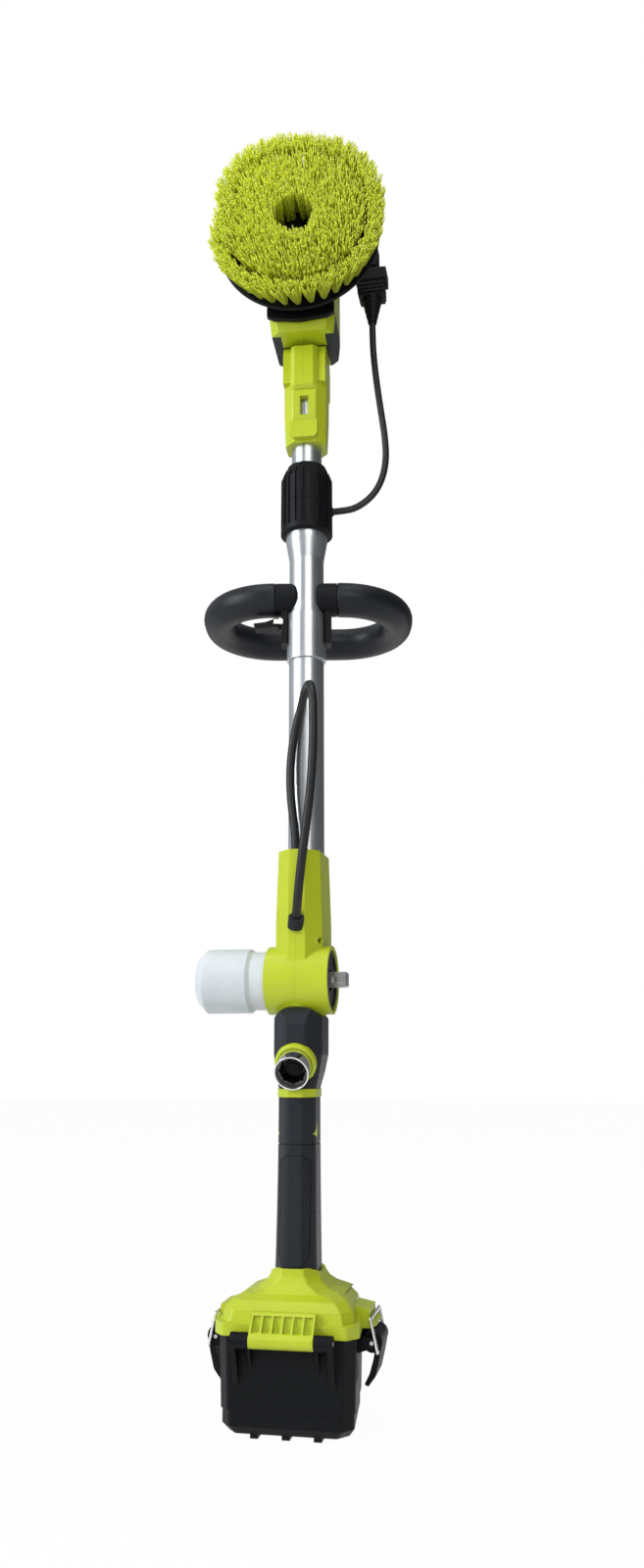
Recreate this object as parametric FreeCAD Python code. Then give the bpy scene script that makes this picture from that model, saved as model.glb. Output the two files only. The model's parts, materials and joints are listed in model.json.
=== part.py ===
import FreeCAD, Part
import math
import os
from FreeCAD import Vector

# Cordless power scrubber, millimetres.
# The pole stands along +Z, the brush faces -Y, the object's own right hand is +X.
# The origin is on the pole's axis, on the surface that the battery box stands on.

os.makedirs("parts", exist_ok=True)

# Clearances and cutting overruns
FIT = 0.3
SLIDE_FIT = 0.25
TURN_FIT = 0.1
OVERRUN = 2.0
NEAR = 0.01
RUN_SHARE = 0.45
WIDE = 400.0
EDGE = 1.0
ORIGIN = Vector(0, 0, 0)
X_AXIS = Vector(1, 0, 0)
Y_AXIS = Vector(0, 1, 0)
Z_AXIS = Vector(0, 0, 1)

# Battery box
FOOT_HEIGHT = 3.0
FOOT_WIDTH = 6.0
FOOT_PITCH = 24.0
BOX_FRONT = -77.5
BOX_BACK = 21.5
BOX_HALF_FRONT = 52.5
BOX_HALF_BACK = 45.5
BOX_CORNER_X = 8.0
BOX_CORNER_Y = 10.0
BOX_REAR_CORNER = 15.0
BOX_RADIUS = 4.0
BOX_WALL = 2.6
BOX_FLOOR = 3.0
TUB_BEVEL_TOP = 8.5
TUB_BEVEL_INSET = 4.0
TUB_BAND_Z = 19.0
TUB_BAND_STEP = 1.0
TUB_DRAFT = 2.2
TUB_TOP = 70.4
LID_BOTTOM = 71.0
FLANGE_TOP = 80.0
FLANGE_OVERHANG = 3.0
LID_WALL = 3.0
GASKET_WIDTH = 1.8
GASKET_HEIGHT = 2.2

# Lid's dome, its hollow and its neck, in steps: rise, then inset or growth
DOME_STEPS = ((0.0, 1.0), (8.0, 3.0), (14.0, 8.0), (17.5, 16.0))
HOLLOW_STEPS = ((0.0, 1.5), (7.0, 3.5), (13.0, 10.0))
FLARE_STEPS = ((-12.5, 23.0, 13.0), (-8.5, 12.0, 8.0), (-4.0, 5.5, 5.0), (1.0, 2.6, 2.6), (6.0, 1.8, 1.8))
GRIP_SOCKET_DEPTH = 30.0

# Battery pack and its terminal block
PACK_HALF = 33.0
PACK_FRONT_GAP = 17.0
PACK_BACK_GAP = 26.0
PACK_BOTTOM = 16.0
PACK_SHOULDER = 66.0
PACK_TOP = 80.0
PACK_CORNER = 3.0
PACK_BEVEL = 3.0
PACK_BEVEL_RISE = 6.0
PACK_NOSE_SHARE = 0.8
PACK_CORNER_SHARE = 0.08
PACK_HEAD_SHARE = 0.6
PACK_HEAD_FRONT = 8.0
PACK_HEAD_BACK = 6.0
PACK_RIBS = 4
PACK_RIB_START = 12.0
PACK_RIB_PITCH = 9.0
PACK_RIB = 3.0
PACK_RIB_ROOT = 0.5
PACK_RIB_PROUD = 0.9
PACK_RIB_RISE = 14.0
PACK_RIB_DROP = 10.0
CONTACT_HALF = 22.0
CONTACT_FRONT = -52.0
CONTACT_BACK = -14.0
CONTACT_RISE = 18.0

# Box hinge at the front
HINGE_Y = -87.0
HINGE_Z = 70.0
HINGE_PIN_RADIUS = 1.6
KNUCKLE_RADIUS = 5.6
TAB_HALF_WIDTH = 24.4
HINGE_HALF_WIDTH = 38.5
TAB_TOP = 88.0
TAB_RIBS = 7
TAB_RIB = 1.7
TAB_WALL = 2.2
GUSSET_WIDTH = 4.0
GUSSET_BOTTOM = 30.0
RIB_RISE = 11.0
TAB_ROOT = 4.0
HINGE_PIN_PROUD = 0.6

# Side latches
LATCH_Y = -28.0
LEVER_X = 61.0
LEVER_Z = 63.0
LEVER_EYE = 7.6
LEVER_WIDTH = 34.0
LEVER_THICKNESS = 4.5
LEVER_BOTTOM = 32.0
LEVER_SWEEP = 11.0
LEVER_BEND = 2.5
LEVER_WAIST_SHARE = 1.6
LEVER_HOOK = 7.0
LEVER_HOOK_INSIDE = 9.0
LEVER_TIP = 3.0
BAIL_SOCKET = 3.0
BAIL_TUCK = 2.5
LATCH_PIN_RADIUS = 1.5
BRACKET_WIDTH = 4.0
BAIL_X = 65.5
BAIL_Z = 57.2
BAIL_TOP_X = 60.6
BAIL_TOP_Z = 80.0
BAIL_WIDTH = 46.4
WIRE = 2.6
EAR_WIDTH = 30.0
EAR_LIP_SHARE = 1.2
LEDGE_SLOPE = 40.0

# Grip
GRIP_Y = -25.0
GRIP_BOTTOM = 108.0
GRIP_TOP = 241.5
GRIP_WIDTH = 31.0
GRIP_DEPTH = 44.0
GRIP_HEEL_WIDTH = 33.6
GRIP_HEEL_DEPTH = 52.0
GRIP_CORNER = 6.0
GRIP_NOSE_SHARE = 0.42
GRIP_CORNER_SHARE = 0.26
GRIP_STEPS = (22.0, 47.0, 77.0, 102.0)
CAVITY_HALF = 9.5
CAVITY_FRONT_WALL = 7.0
CAVITY_BACK_WALL = 4.0
CAVITY_FLOOR = 8.0
CAVITY_ROOF = 4.0
BAND_TOP = GRIP_TOP + 6.5
BAND_PROUD = 0.8
RING_GROOVE_Z = GRIP_TOP - 36.5
PAD_BOTTOM = GRIP_BOTTOM + 6.0
PAD_TOP = RING_GROOVE_Z - 8.0
PAD_HALF_WIDTH = 12.5
PAD_THICKNESS = 1.6
PAD_BEVEL_SHARE = 0.35
GROOVE = 0.8
TRIGGER_TOP = GRIP_TOP - 19.5
TRIGGER_BOTTOM = TRIGGER_TOP - 34.0
TRIGGER_WIDTH = 15.0
TRIGGER_PROUD = 9.0
TRIGGER_TRAVEL = 6.0
TRIGGER_ROOT = 7.0
TRIGGER_SHARES = ((0.6, 0.0), (1.0, 0.2), (0.55, 0.55), (0.8, 1.0))
BUTTON_Z = GRIP_TOP - 24.5
BUTTON_Y = -32.0
BUTTON_SUNK = 0.2
BUTTON_CORNERS = ((-6.0, -4.0, -1, 0), (4.0, -8.0, 1, -1), (7.0, 7.5, 1, 1))
SWITCH_DROP = 12.0
SWITCH_RISE = 16.0
BOARD_HALF = 1.0
CAP_RADIUS = 4.0
CAP_HEIGHT = 8.0
CAP_PLACES = ((-5.0, 20.0), (5.0, 20.0), (0.0, 38.0))

# Barrel, cross cylinder and neck
BARREL_WIDTH = 41.0
BARREL_FRONT = -47.0
BARREL_BACK = 12.0
BARREL_CORNER_SHARE = 0.24
BARREL_STEPS = ((2.2, 1.0, 8.0, 13.0), (0.0, 0.0, 2.0, 27.0))
BARREL_ROOF_DROP = 34.0
CROSS_Z = BAND_TOP + 88.0
CROSS_Y = -18.0
CROSS_RADIUS = 28.5
CROSS_HALF = 27.0
CROSS_WALL = 3.0
LIP = 1.4
NECK_TOP = CROSS_Z + 109.0
NECK_FRONT = -42.0
NECK_BACK = 19.5
NECK_HALF = 20.0
NECK_TOP_HALF = 18.0
NECK_CORNER = 1.2
NECK_SHOULDER = 48.0
NECK_FRONT_SHARE = 0.38
NECK_BACK_SHARE = 0.5
NECK_FRONT_BEVEL = 12.0
NECK_BACK_BEVEL = 7.0
NECK_RING = 14.0
NECK_SKIRT = 8.0
SEAT_DROP = 6.0
SEAT_RISE = 16.0
WEB_START = -12.0
WEB_END = -9.5
WEB_HOLE_SHARE = 0.5
SHELL_WALL = 2.6
SCREW_RADIUS = 1.7
SCREW_HEAD = 3.0
SCREW_HEAD_HEIGHT = 2.2
SCREW_START = 2.0
SCREW_FLOOR = 12.0
SCREW_REACH = 16.0
SCREW_PLACES = ((-27.0, 85.0), (-30.0, 32.0))
BARREL_SCREW_Y = -30.0
BARREL_SCREW_Z = CROSS_Z - 45.0
BOSS_WALL = 1.6
ARCH_TOP = CROSS_Z - 22.0
ARCH_RADIUS = 26.0
BROW_DROP = 14.5
BROW_MIDDLE = 6.5
BROW_STEP = 3.0
BROW_DEPTH = 10.0

# Detergent bottle
BOTTLE_RADIUS = 27.0
BOTTLE_END = -88.0
BOTTLE_SHOULDER = -41.5
BOTTLE_NECK_RADIUS = 24.5
BOTTLE_WALL = 1.6
BOTTLE_BEVEL = 7.0
BOTTLE_ROOT = -16.0
BOTTLE_ROOT_RADIUS = 19.0
BOTTLE_STEP = 2.0
BOTTLE_PLUG = 3.0

# Metering spindle
SPINDLE_SQUARE = 12.7
SPINDLE_END = 39.5
SPINDLE_START = 18.0
SPINDLE_CHAMFER = 1.0
STEM_START = 8.0
DISC_START = 22.0
DISC_RADIUS = 24.0
DISC_THICKNESS = 2.5
DISC_RIM = 1.6
DISC_RIM_WIDTH = 2.0
VALVE_RADIUS = 14.0
VALVE_BODY_START = 4.0
VALVE_NOSE_START = -10.0
RECESS_START = 27.0
RECESS_MARGIN = 2.2
RECESS_DEPTH = 1.0
RECESS_HALF = 2.6
DETENT_X = 29.0
DETENT_DEPTH = 4.0
DETENT_RADIUS = 2.2

# Water coupling
COUPLING_TILT = 25.0
COUPLING_Y = -39.0
COUPLING_Z = BAND_TOP + 21.0
COUPLING_RADIUS = 14.2
COUPLING_WALL = 1.1
COUPLING_LENGTH = 21.0
COUPLING_DEPTH = 8.0
COUPLING_RING_RADIUS = 17.2
VALVE_FACE_RADIUS = 7.0
VALVE_TRAVEL = 3.0
VALVE_SEAT = 1.2
COUPLING_FLUTES = 8
COUPLING_INSERT_RADIUS = 10.5
SLEEVE_START = 2.0
INSERT_BACK = 5.0
RING_DEPTH = 6.0
RING_FILLET = 1.6

# Pole
OUTER_RADIUS = 16.0
OUTER_WALL = 1.4
INNER_RADIUS = 14.3
INNER_WALL = 1.3
OUTER_BOTTOM = CROSS_Z + 44.0
FLARE_BOTTOM = OUTER_BOTTOM + 346.0
FLARE_TOP = FLARE_BOTTOM + 20.0
FLARE_RADIUS = 19.5
OUTER_TOP = FLARE_TOP + 30.0
INNER_BOTTOM = OUTER_BOTTOM + 60.0
KEY_GROOVE = 0.7

# Lock collar
COLLAR_BOTTOM = OUTER_TOP - 24.0
COLLAR_SPLIT = OUTER_TOP + 7.0
COLLAR_BEVEL = COLLAR_SPLIT + 25.0
COLLAR_TOP = COLLAR_BEVEL + 14.0
COLLAR_SKIRT = 6.0
COLLAR_SKIRT_STEP = 1.5
COLLAR_RIB_SHARE = 0.7
NUT_CEILING = 3.0
NUT_RIB_DROP = 2.0
COLLET_FOOT = 4.0
COLLET_STEP = 6.0
COLLET_TIP = 1.2
COLLET_SLITS = 4
SLIT_HALF = 0.8
COLLAR_RADIUS = 22.9
COLLAR_RIB = 1.6
COLLAR_RIBS = 20
COLLAR_TOP_RADIUS = 18.5
COLLET_RADIUS = 17.2
OUTLET_WALL = 1.4

# Second handle on the pole
LOOP_Z = FLARE_BOTTOM - 38.0
LOOP_TURN = 10.0
LOOP_HALF = 86.0
LOOP_DEPTH = 118.0
LOOP_CORNER = 54.0
FOAM_RADIUS = 16.0
CORE_RADIUS = 9.5
CORE_WALL = 1.6
FOAM_START = 28.3
CLAMP_START = 18.6
SLEEVE_RADIUS = 18.2
SLEEVE_BOTTOM = LOOP_Z - 61.0
SLEEVE_TOP = LOOP_Z - FOAM_RADIUS
SKIRT_BOTTOM = LOOP_Z - 45.0
SKIRT_THICKNESS = 5.0
SKIRT_HALF_DEPTH = 8.0
LEVER_ARM_END = -47.0
LEVER_ARM_Z = LOOP_Z - 24.0
THUMB_ROOT = ((0.0, -3.0), (-6.0, -5.0))
THUMB_TIP = ((0.0, -6.0), (-2.0, -1.0))
THUMB_TOP = ((-10.0, 0.5), (0.0, 4.2))
STUB_SHARE = 0.6
SADDLE_MARGIN = 2.0
SADDLE_DEPTH = 6.0
SADDLE_STEP = 3.0
CAM_RADIUS = 4.6
CAM_PIN_RADIUS = 1.6
LINK = 1.6

# Yoke
HEAD_TURN = 4.0
YOKE_BOTTOM = COLLAR_TOP + 21.0
YOKE_HALF = 20.6
YOKE_SOCKET_TOP = YOKE_BOTTOM + 63.0
YOKE_STEPS = ((1.3, 3.2, 2.0, 0.0), (0.4, 0.0, 3.0, 30.0))
YOKE_CORNER = 3.0
YOKE_CUT_SHARE = 0.45
INNER_TOP = YOKE_BOTTOM + 60.0
CHAMBER_STEP = 2.0
CHAMBER_RISE = 30.0
ARM_INNER = 11.0
TILT_Y = 0.0
TILT_Z = YOKE_SOCKET_TOP + 26.0
TILT_PIN_RADIUS = 3.0
ARM_RADIUS = 20.0
LUG_RADIUS = 13.0
SPINE_HALF = 13.0
SPINE_BOTTOM = YOKE_BOTTOM + 54.0
SPINE_TOP = SPINE_BOTTOM + 45.0
SPINE_PROUD = 4.0
SPINE_STEP = 3.0
SPINE_CORNER = 0.8
SPINE_NOSE_SHARE = 0.7
SPINE_CORNER_SHARE = 0.12
LEDGE_BOTTOM = YOKE_BOTTOM + 2.0
LEDGE_TOP = LEDGE_BOTTOM + 18.0
LEDGE_BEVEL = 3.0
LEDGE_BEVEL_RISE = 4.0
LEDGE_PROUD = 2.4
LEDGE_DEPTH = 8.0
WINDOW_HALF = 4.0
WINDOW_BOTTOM = YOKE_BOTTOM + 27.0
WINDOW_TOP = WINDOW_BOTTOM + 20.0
LUG_ROOM = 6.0

# Scrub head, with the brush's axis along -Y
PLATE_Y = -60.0
PLATE_Z = TILT_Z + 102.0
PLATE_RADIUS = 77.5
PLATE_THICKNESS = 5.0
PLATE_RIM = 9.0
PLATE_TAPER = 7.0
PLATE_EDGE = 1.0
PLATE_LIP = 2.5
PLATE_SLOPE = 1.5
HUB_ROOT_RADIUS = 13.0
HUB_RADIUS = 11.5
HUB_BACK = 11.0
BRISTLE_LENGTH = 38.5
BRISTLE_HOLE = 18.0
BRISTLE_FIELD = 60.0
HOLE_DRAFT = 1.0
HOLE_BEVEL = 6.0
BRISTLE_DOME = 2.0
FIELD_SPREAD = 4.0
FIELD_DOME = 2.5
TUFTS = 36
TUFT_ROOT = 2.7
TUFT_TIP = 6.9
TUFT_SIDES = 8
TUFT_MARGIN = 3.5
TUFT_FLARE = 17.0
SPINDLE_RADIUS = 6.0
GEAR_MODULE = 1.25
PINION_TEETH = 12
WHEEL_TEETH = 36
GEAR_WIDTH = 7.0
TOOTH_BACKLASH_SHARE = 0.14
ADDENDUM_SHARE = 0.8
DEDENDUM_SHARE = 1.15
TIP_SHARE = 0.13
ROOT_SHARE = 0.36
PINION_PROUD = 0.5
STEM_RADIUS = 2.0
STEM_LENGTH = 6.0
SPINDLE_TAIL = 4.0
BEARING_RADIUS = 11.0
BEARING_WIDTH = 6.4
BEARING_GAP = 0.6
HEAD_HALF = 31.5
HEAD_BACK = 82.0
HEAD_TOP = 56.0
HEAD_WALL = 2.8
HEAD_BEVEL = 7.0
HEAD_CORNER = 2.5
HEAD_FOOT = (1.5, 6.0, 14.0)
HEAD_CROWN = (8.0, 6.0)
LIMB_STEP = 2.0
NOSE_GAP = 3.0
NOSE_PROUD = 0.6
NOSE_BORE = 11.0
NOSE_BROW = (9.0, 12.0)
NOSE_CHIN = (6.0, 3.0)
NOSE_DEPTH = 17.0
NOSE_DROP = 77.0
SHELL_SKIRT = 8.0
INSERT_TOP = PLATE_Z - 63.0
INSERT_FRONT = -30.0
TONGUE_HALF = 10.4
CHEEK_INNER = 21.4
MOTOR_RADIUS = 17.5
MOTOR_CAN_RADIUS = 15.75
MOTOR_GAP = 2.0
MOTOR_BOSS = 0.6
MOTOR_BOSS_RADIUS = 6.0
GEAR_HOLE = 25.0
INLET_WALL = 2.2
INLET_LENGTH = 16.0

# Cables
LOOP_CABLE = 7.6
HEAD_CABLE = 6.4
GLAND_DEPTH = 5.0
GLAND_PROUD = 5.0
GLAND_RADIUS = 6.6
PLUG_X = 64.0
PLUG_Y = 12.0
PLUG_BOTTOM = PLATE_Z - 24.0
PLUG_TOP = PLUG_BOTTOM + 31.0
PLUG_WIDTH = 31.0
PLUG_DEPTH = 20.0
PLUG_STEP = 14.0
PLUG_BROW = 2.0
PLUG_INSET = 3.0
PLUG_RIBS = 3
PLUG_RIB = 2.0
PLUG_RIB_PITCH = 4.0
PLUG_RIB_INSET = 2.2
PLUG_RIB_DEPTH = 0.2
RELIEF_BOTTOM = PLUG_BOTTOM - 27.0
RELIEF_STEPS = 4
RELIEF_WALL = 1.2
RELIEF_GROWTH = 1.5
SOCKET_TOP = PLUG_TOP + 33.0
SOCKET_NECK_RADIUS = 4.6
SOCKET_NECK = 6.0
SOCKET_DEPTH_HALF = 6.0
SOCKET_CORNER = 1.5
SOCKET_FOOT_HALF = 5.5
SOCKET_HALF = 7.5
SOCKET_TIP_HALF = 4.5
SOCKET_FOOT_RISE = 4.0
SOCKET_TIP_DROP = 10.0


def box(x0, x1, y0, y1, z0, z1):
    return Part.makeBox(x1 - x0, y1 - y0, z1 - z0, Vector(x0, y0, z0))


def rod(radius, start, end):
    along = end - start
    return Part.makeCylinder(radius, along.Length, start, along)


def pipe(outer, inner, start, end):
    return rod(outer, start, end).cut(rod(inner, start, end))


def cone(radius_a, radius_b, start, end):
    along = end - start
    return Part.makeCone(radius_a, radius_b, along.Length, start, along)


def turn_head(shape):
    return turned(shape, ORIGIN, Z_AXIS, HEAD_TURN)


def fuse(shapes):
    return shapes[0].multiFuse(shapes[1:]).removeSplitter()


def mirror_x(shape):
    return shape.mirror(ORIGIN, X_AXIS)


def moved(shape, offset):
    copy = shape.copy()
    copy.translate(offset)
    return copy


def turned(shape, centre, axis, degrees):
    copy = shape.copy()
    copy.rotate(centre, axis, degrees)
    return copy


def prism(points, normal, start, length):
    """A polygon pushed along X, Y or Z; the points are the other two coordinates in that order."""
    def place(p):
        if normal == X_AXIS:
            return Vector(start, p[0], p[1])
        if normal == Y_AXIS:
            return Vector(p[0], start, p[1])
        return Vector(p[0], p[1], start)
    corners = [place(p) for p in points]
    wire = Part.makePolygon(corners + corners[:1])
    return Part.Face(wire).extrude(normal * length)


def revolve_z(profile, centre=ORIGIN):
    """A closed (radius, height) profile turned about the vertical through centre."""
    corners = [Vector(centre.x + r, centre.y, centre.z + z) for r, z in profile]
    face = Part.Face(Part.makePolygon(corners + corners[:1]))
    return face.revolve(centre, Z_AXIS, 360)


def rounded_wire(points, radius, z):
    """A closed polygon at height z, with every corner replaced by a tangent arc."""
    corners = [Vector(x, y, z) for x, y in points]
    count = len(corners)
    starts, mids, ends = [], [], []
    for i, corner in enumerate(corners):
        before = (corners[i - 1] - corner).normalize()
        after = (corners[(i + 1) % count] - corner).normalize()
        half = before.getAngle(after) / 2
        reach = radius / math.tan(half)
        inward = (before + after).normalize()
        starts.append(corner + before * reach)
        ends.append(corner + after * reach)
        mids.append(corner + inward * (radius / math.sin(half) - radius))
    edges = []
    for i in range(count):
        edges.append(Part.Arc(starts[i], mids[i], ends[i]).toShape())
        edges.append(Part.LineSegment(ends[i], starts[(i + 1) % count]).toShape())
    return Part.Wire(edges)


def oval_points(half_width, front, back, nose_share, corner_share):
    """Eight corners of a grip section: a narrow front and back, wide flanks."""
    depth = back - front
    nose = half_width * nose_share
    cut = depth * corner_share
    return [
        (-nose, front), (nose, front), (half_width, front + cut), (half_width, back - cut),
        (nose, back), (-nose, back), (-half_width, back - cut), (-half_width, front + cut),
    ]


def section_loft(sections):
    """A ruled body through (points, radius, height) sections of equal corner count."""
    return Part.makeLoft([rounded_wire(p, r, z) for p, r, z in sections], True, True)


def ring_pattern(shape, count, centre, axis):
    return [turned(shape, centre, axis, 360.0 * i / count) for i in range(count)]


def cord_tube(name, points, diameter):
    """A tube along straight runs with tangent arcs; every arc takes 0.45 of its shorter run."""
    places = [Vector(*p) for p in points]
    edges, at, length, radii = [], places[0], 0.0, []
    for i in range(1, len(places) - 1):
        corner = places[i]
        before = places[i - 1] - corner
        after = places[i + 1] - corner
        reach = RUN_SHARE * min(before.Length, after.Length)
        turn = math.pi - before.getAngle(after)
        radius = reach / math.tan(turn / 2)
        radii.append(radius)
        before.normalize()
        after.normalize()
        start, end = corner + before * reach, corner + after * reach
        inward = (before + after).normalize()
        middle = corner + inward * (radius / math.cos(turn / 2) - radius)
        edges.append(Part.LineSegment(at, start).toShape())
        edges.append(Part.Arc(start, middle, end).toShape())
        length += (start - at).Length + radius * turn
        at = end
    edges.append(Part.LineSegment(at, places[-1]).toShape())
    length += (places[-1] - at).Length
    circle = Part.Circle(places[0], places[1] - places[0], diameter / 2)
    tube = Part.Wire(edges).makePipeShell([Part.Wire(circle.toShape())], True, True)
    section = math.pi * (diameter / 2) ** 2
    shown = " ".join("%.1f" % r for r in radii)
    print("%s length %.1f, volume share %.4f, radii %s" % (name, length, tube.Volume / (section * length), shown))
    return tube


def save(name, shape):
    if not shape.isValid():
        print("not valid:", name)
    shape.exportStep("parts/" + name + ".step")


# Battery box

def box_points(grow):
    """Plan of the battery box, grown outward by grow; the flanks close in towards the back."""
    front, back = BOX_FRONT - grow, BOX_BACK + grow
    wide, slim = BOX_HALF_FRONT + grow, BOX_HALF_BACK + grow
    rear = BOX_REAR_CORNER
    return [
        (-wide + BOX_CORNER_X, front), (wide - BOX_CORNER_X, front),
        (wide, front + BOX_CORNER_Y), (slim, back - rear),
        (slim - rear, back), (-slim + rear, back),
        (-slim, back - rear), (-wide, front + BOX_CORNER_Y),
    ]


def box_flank(y):
    """Half width of the tub's top outline at y, on its straight flank."""
    first, last = BOX_FRONT + BOX_CORNER_Y, BOX_BACK - BOX_REAR_CORNER
    share = (y - first) / (last - first)
    return BOX_HALF_FRONT + (BOX_HALF_BACK - BOX_HALF_FRONT) * share


def tub_body(inset):
    floor = FOOT_HEIGHT + (BOX_FLOOR if inset else 0.0)
    top = TUB_TOP + (OVERRUN if inset else 0.0)
    low = -TUB_DRAFT - inset
    radius = max(BOX_RADIUS - inset, BOX_RADIUS / 4)
    lower = section_loft([
        (box_points(low - TUB_BEVEL_INSET), radius, floor),
        (box_points(low), radius, TUB_BEVEL_TOP + (BOX_FLOOR if inset else 0.0)),
        (box_points(low), radius, TUB_BAND_Z),
    ])
    upper = section_loft([
        (box_points(low + (0.0 if inset else TUB_BAND_STEP)), radius, TUB_BAND_Z),
        (box_points(-inset), radius, top),
    ])
    return fuse([lower, upper])


def hinge_knuckle(side):
    """One black arm of the box hinge with its tapering gusset and thin inner rib."""
    inner, outer = TAB_HALF_WIDTH + FIT, HINGE_HALF_WIDTH
    barrel = rod(KNUCKLE_RADIUS, Vector(inner, HINGE_Y, HINGE_Z), Vector(outer, HINGE_Y, HINGE_Z))
    wall = BOX_FRONT + BOX_WALL / 2
    web = prism([
        (HINGE_Y, HINGE_Z - KNUCKLE_RADIUS), (wall, HINGE_Z - KNUCKLE_RADIUS * 2),
        (wall, HINGE_Z), (HINGE_Y, HINGE_Z),
    ], X_AXIS, inner, outer - inner)
    gusset = prism([
        (HINGE_Y - KNUCKLE_RADIUS, HINGE_Z), (wall + TUB_DRAFT, GUSSET_BOTTOM), (wall + TUB_DRAFT, HINGE_Z),
    ], X_AXIS, outer - GUSSET_WIDTH, GUSSET_WIDTH)
    rib = prism([
        (HINGE_Y, HINGE_Z - KNUCKLE_RADIUS / 2), (wall + TUB_DRAFT, GUSSET_BOTTOM + RIB_RISE),
        (wall + TUB_DRAFT, HINGE_Z),
    ], X_AXIS, inner, GUSSET_WIDTH / 2)
    arm = fuse([barrel, web, gusset, rib])
    return arm if side > 0 else mirror_x(arm)


def latch_bracket(side):
    """Two ears on the tub's flank that carry a latch pin, outside the lever."""
    half = LEVER_WIDTH / 2 + FIT
    ears = []
    for y in (LATCH_Y - half - BRACKET_WIDTH, LATCH_Y + half):
        foot = box_flank(y) - BOX_WALL * 2 / 3
        plate = prism([
            (foot, LEVER_Z - LEVER_EYE), (LEVER_X, LEVER_Z - LEVER_EYE / 2),
            (LEVER_X, LEVER_Z + LEVER_EYE / 2), (foot, LEVER_Z + LEVER_EYE / 2),
        ], Y_AXIS, y, BRACKET_WIDTH)
        eye = rod(LEVER_EYE / 2, Vector(LEVER_X, y, LEVER_Z), Vector(LEVER_X, y + BRACKET_WIDTH, LEVER_Z))
        ears.append(fuse([plate, eye]))
    ears = fuse(ears)
    reach = half + BRACKET_WIDTH + OVERRUN
    bore = rod(LATCH_PIN_RADIUS, Vector(LEVER_X, LATCH_Y - reach, LEVER_Z),
               Vector(LEVER_X, LATCH_Y + reach, LEVER_Z))
    ears = ears.cut(bore)
    return ears if side > 0 else mirror_x(ears)


def make_tub():
    shell = tub_body(0.0).cut(tub_body(BOX_WALL))
    extras = [hinge_knuckle(1), hinge_knuckle(-1), latch_bracket(1), latch_bracket(-1)]
    for i in (-1, 0, 1):
        x = i * FOOT_PITCH
        front, back = BOX_FRONT + TUB_BEVEL_INSET + TUB_DRAFT, BOX_BACK - TUB_BEVEL_INSET - TUB_DRAFT
        extras.append(box(x - FOOT_WIDTH / 2, x + FOOT_WIDTH / 2, front, back, 0, FOOT_HEIGHT + BOX_FLOOR / 2))
    tub = fuse([shell] + extras)
    reach = HINGE_HALF_WIDTH + OVERRUN
    tub = tub.cut(rod(HINGE_PIN_RADIUS, Vector(-reach, HINGE_Y, HINGE_Z), Vector(reach, HINGE_Y, HINGE_Z)))
    tab_room = rod(KNUCKLE_RADIUS + FIT, Vector(-TAB_HALF_WIDTH - FIT, HINGE_Y, HINGE_Z),
                   Vector(TAB_HALF_WIDTH + FIT, HINGE_Y, HINGE_Z))
    return tub.cut(tab_room)


def grip_outline(z, inset=0.0):
    """Section of the grip at height z: it widens and leans forward towards its heel."""
    share = (GRIP_TOP - z) / (GRIP_TOP - GRIP_BOTTOM)
    share = max(0.0, share) ** 2
    half = (GRIP_WIDTH + (GRIP_HEEL_WIDTH - GRIP_WIDTH) * share) / 2 - inset
    depth = GRIP_DEPTH + (GRIP_HEEL_DEPTH - GRIP_DEPTH) * share
    front = GRIP_Y - depth / 2 + inset
    back = GRIP_Y + GRIP_DEPTH / 2 - inset
    return oval_points(half, front, back, GRIP_NOSE_SHARE, GRIP_CORNER_SHARE)


def lid_neck_points(wide, deep):
    """The grip's outline at the lid, grown sideways and fore and aft."""
    return [
        (x + math.copysign(wide, x), y + math.copysign(deep, y - GRIP_Y))
        for x, y in grip_outline(GRIP_BOTTOM)
    ]


def make_lid():
    flange = section_loft([
        (box_points(FLANGE_OVERHANG), BOX_RADIUS, LID_BOTTOM),
        (box_points(FLANGE_OVERHANG), BOX_RADIUS, FLANGE_TOP),
    ])
    dome = section_loft([(box_points(-inset), BOX_RADIUS, FLANGE_TOP + rise) for rise, inset in DOME_STEPS])
    neck = section_loft([
        (lid_neck_points(wide, deep), BOX_RADIUS, GRIP_BOTTOM + rise) for rise, wide, deep in FLARE_STEPS
    ])
    scoop_z = GRIP_BOTTOM + GRIP_HEEL_DEPTH + EDGE
    scoop = rod(GRIP_HEEL_DEPTH, Vector(-GRIP_HEEL_WIDTH, GRIP_Y, scoop_z),
                Vector(GRIP_HEEL_WIDTH, GRIP_Y, scoop_z))
    neck = neck.cut(scoop)
    hollow = section_loft([
        (box_points(-LID_WALL), BOX_RADIUS, LID_BOTTOM - OVERRUN),
        (box_points(-LID_WALL), BOX_RADIUS, LID_BOTTOM + GASKET_HEIGHT + FIT),
    ] + [
        (box_points(-inset - LID_WALL), BOX_RADIUS, FLANGE_TOP + rise) for rise, inset in HOLLOW_STEPS
    ])
    ears = [lid_ear(1), lid_ear(-1)]
    lid = fuse([flange, dome, neck, hinge_tab()] + ears)
    lid = lid.cut(hollow)
    room = [lid_knuckle_room(1), lid_knuckle_room(-1)]
    for cutter in room:
        lid = lid.cut(cutter)
    lid = lid.cut(section_loft([
        (grip_outline(GRIP_BOTTOM, -TURN_FIT), BOX_RADIUS, GRIP_BOTTOM),
        (grip_outline(GRIP_BOTTOM, -TURN_FIT), BOX_RADIUS, GRIP_BOTTOM + GRIP_SOCKET_DEPTH),
    ]))
    reach = TAB_HALF_WIDTH + OVERRUN
    bore = HINGE_PIN_RADIUS + TURN_FIT
    lid = lid.cut(rod(bore, Vector(-reach, HINGE_Y, HINGE_Z), Vector(reach, HINGE_Y, HINGE_Z)))
    return lid


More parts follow.
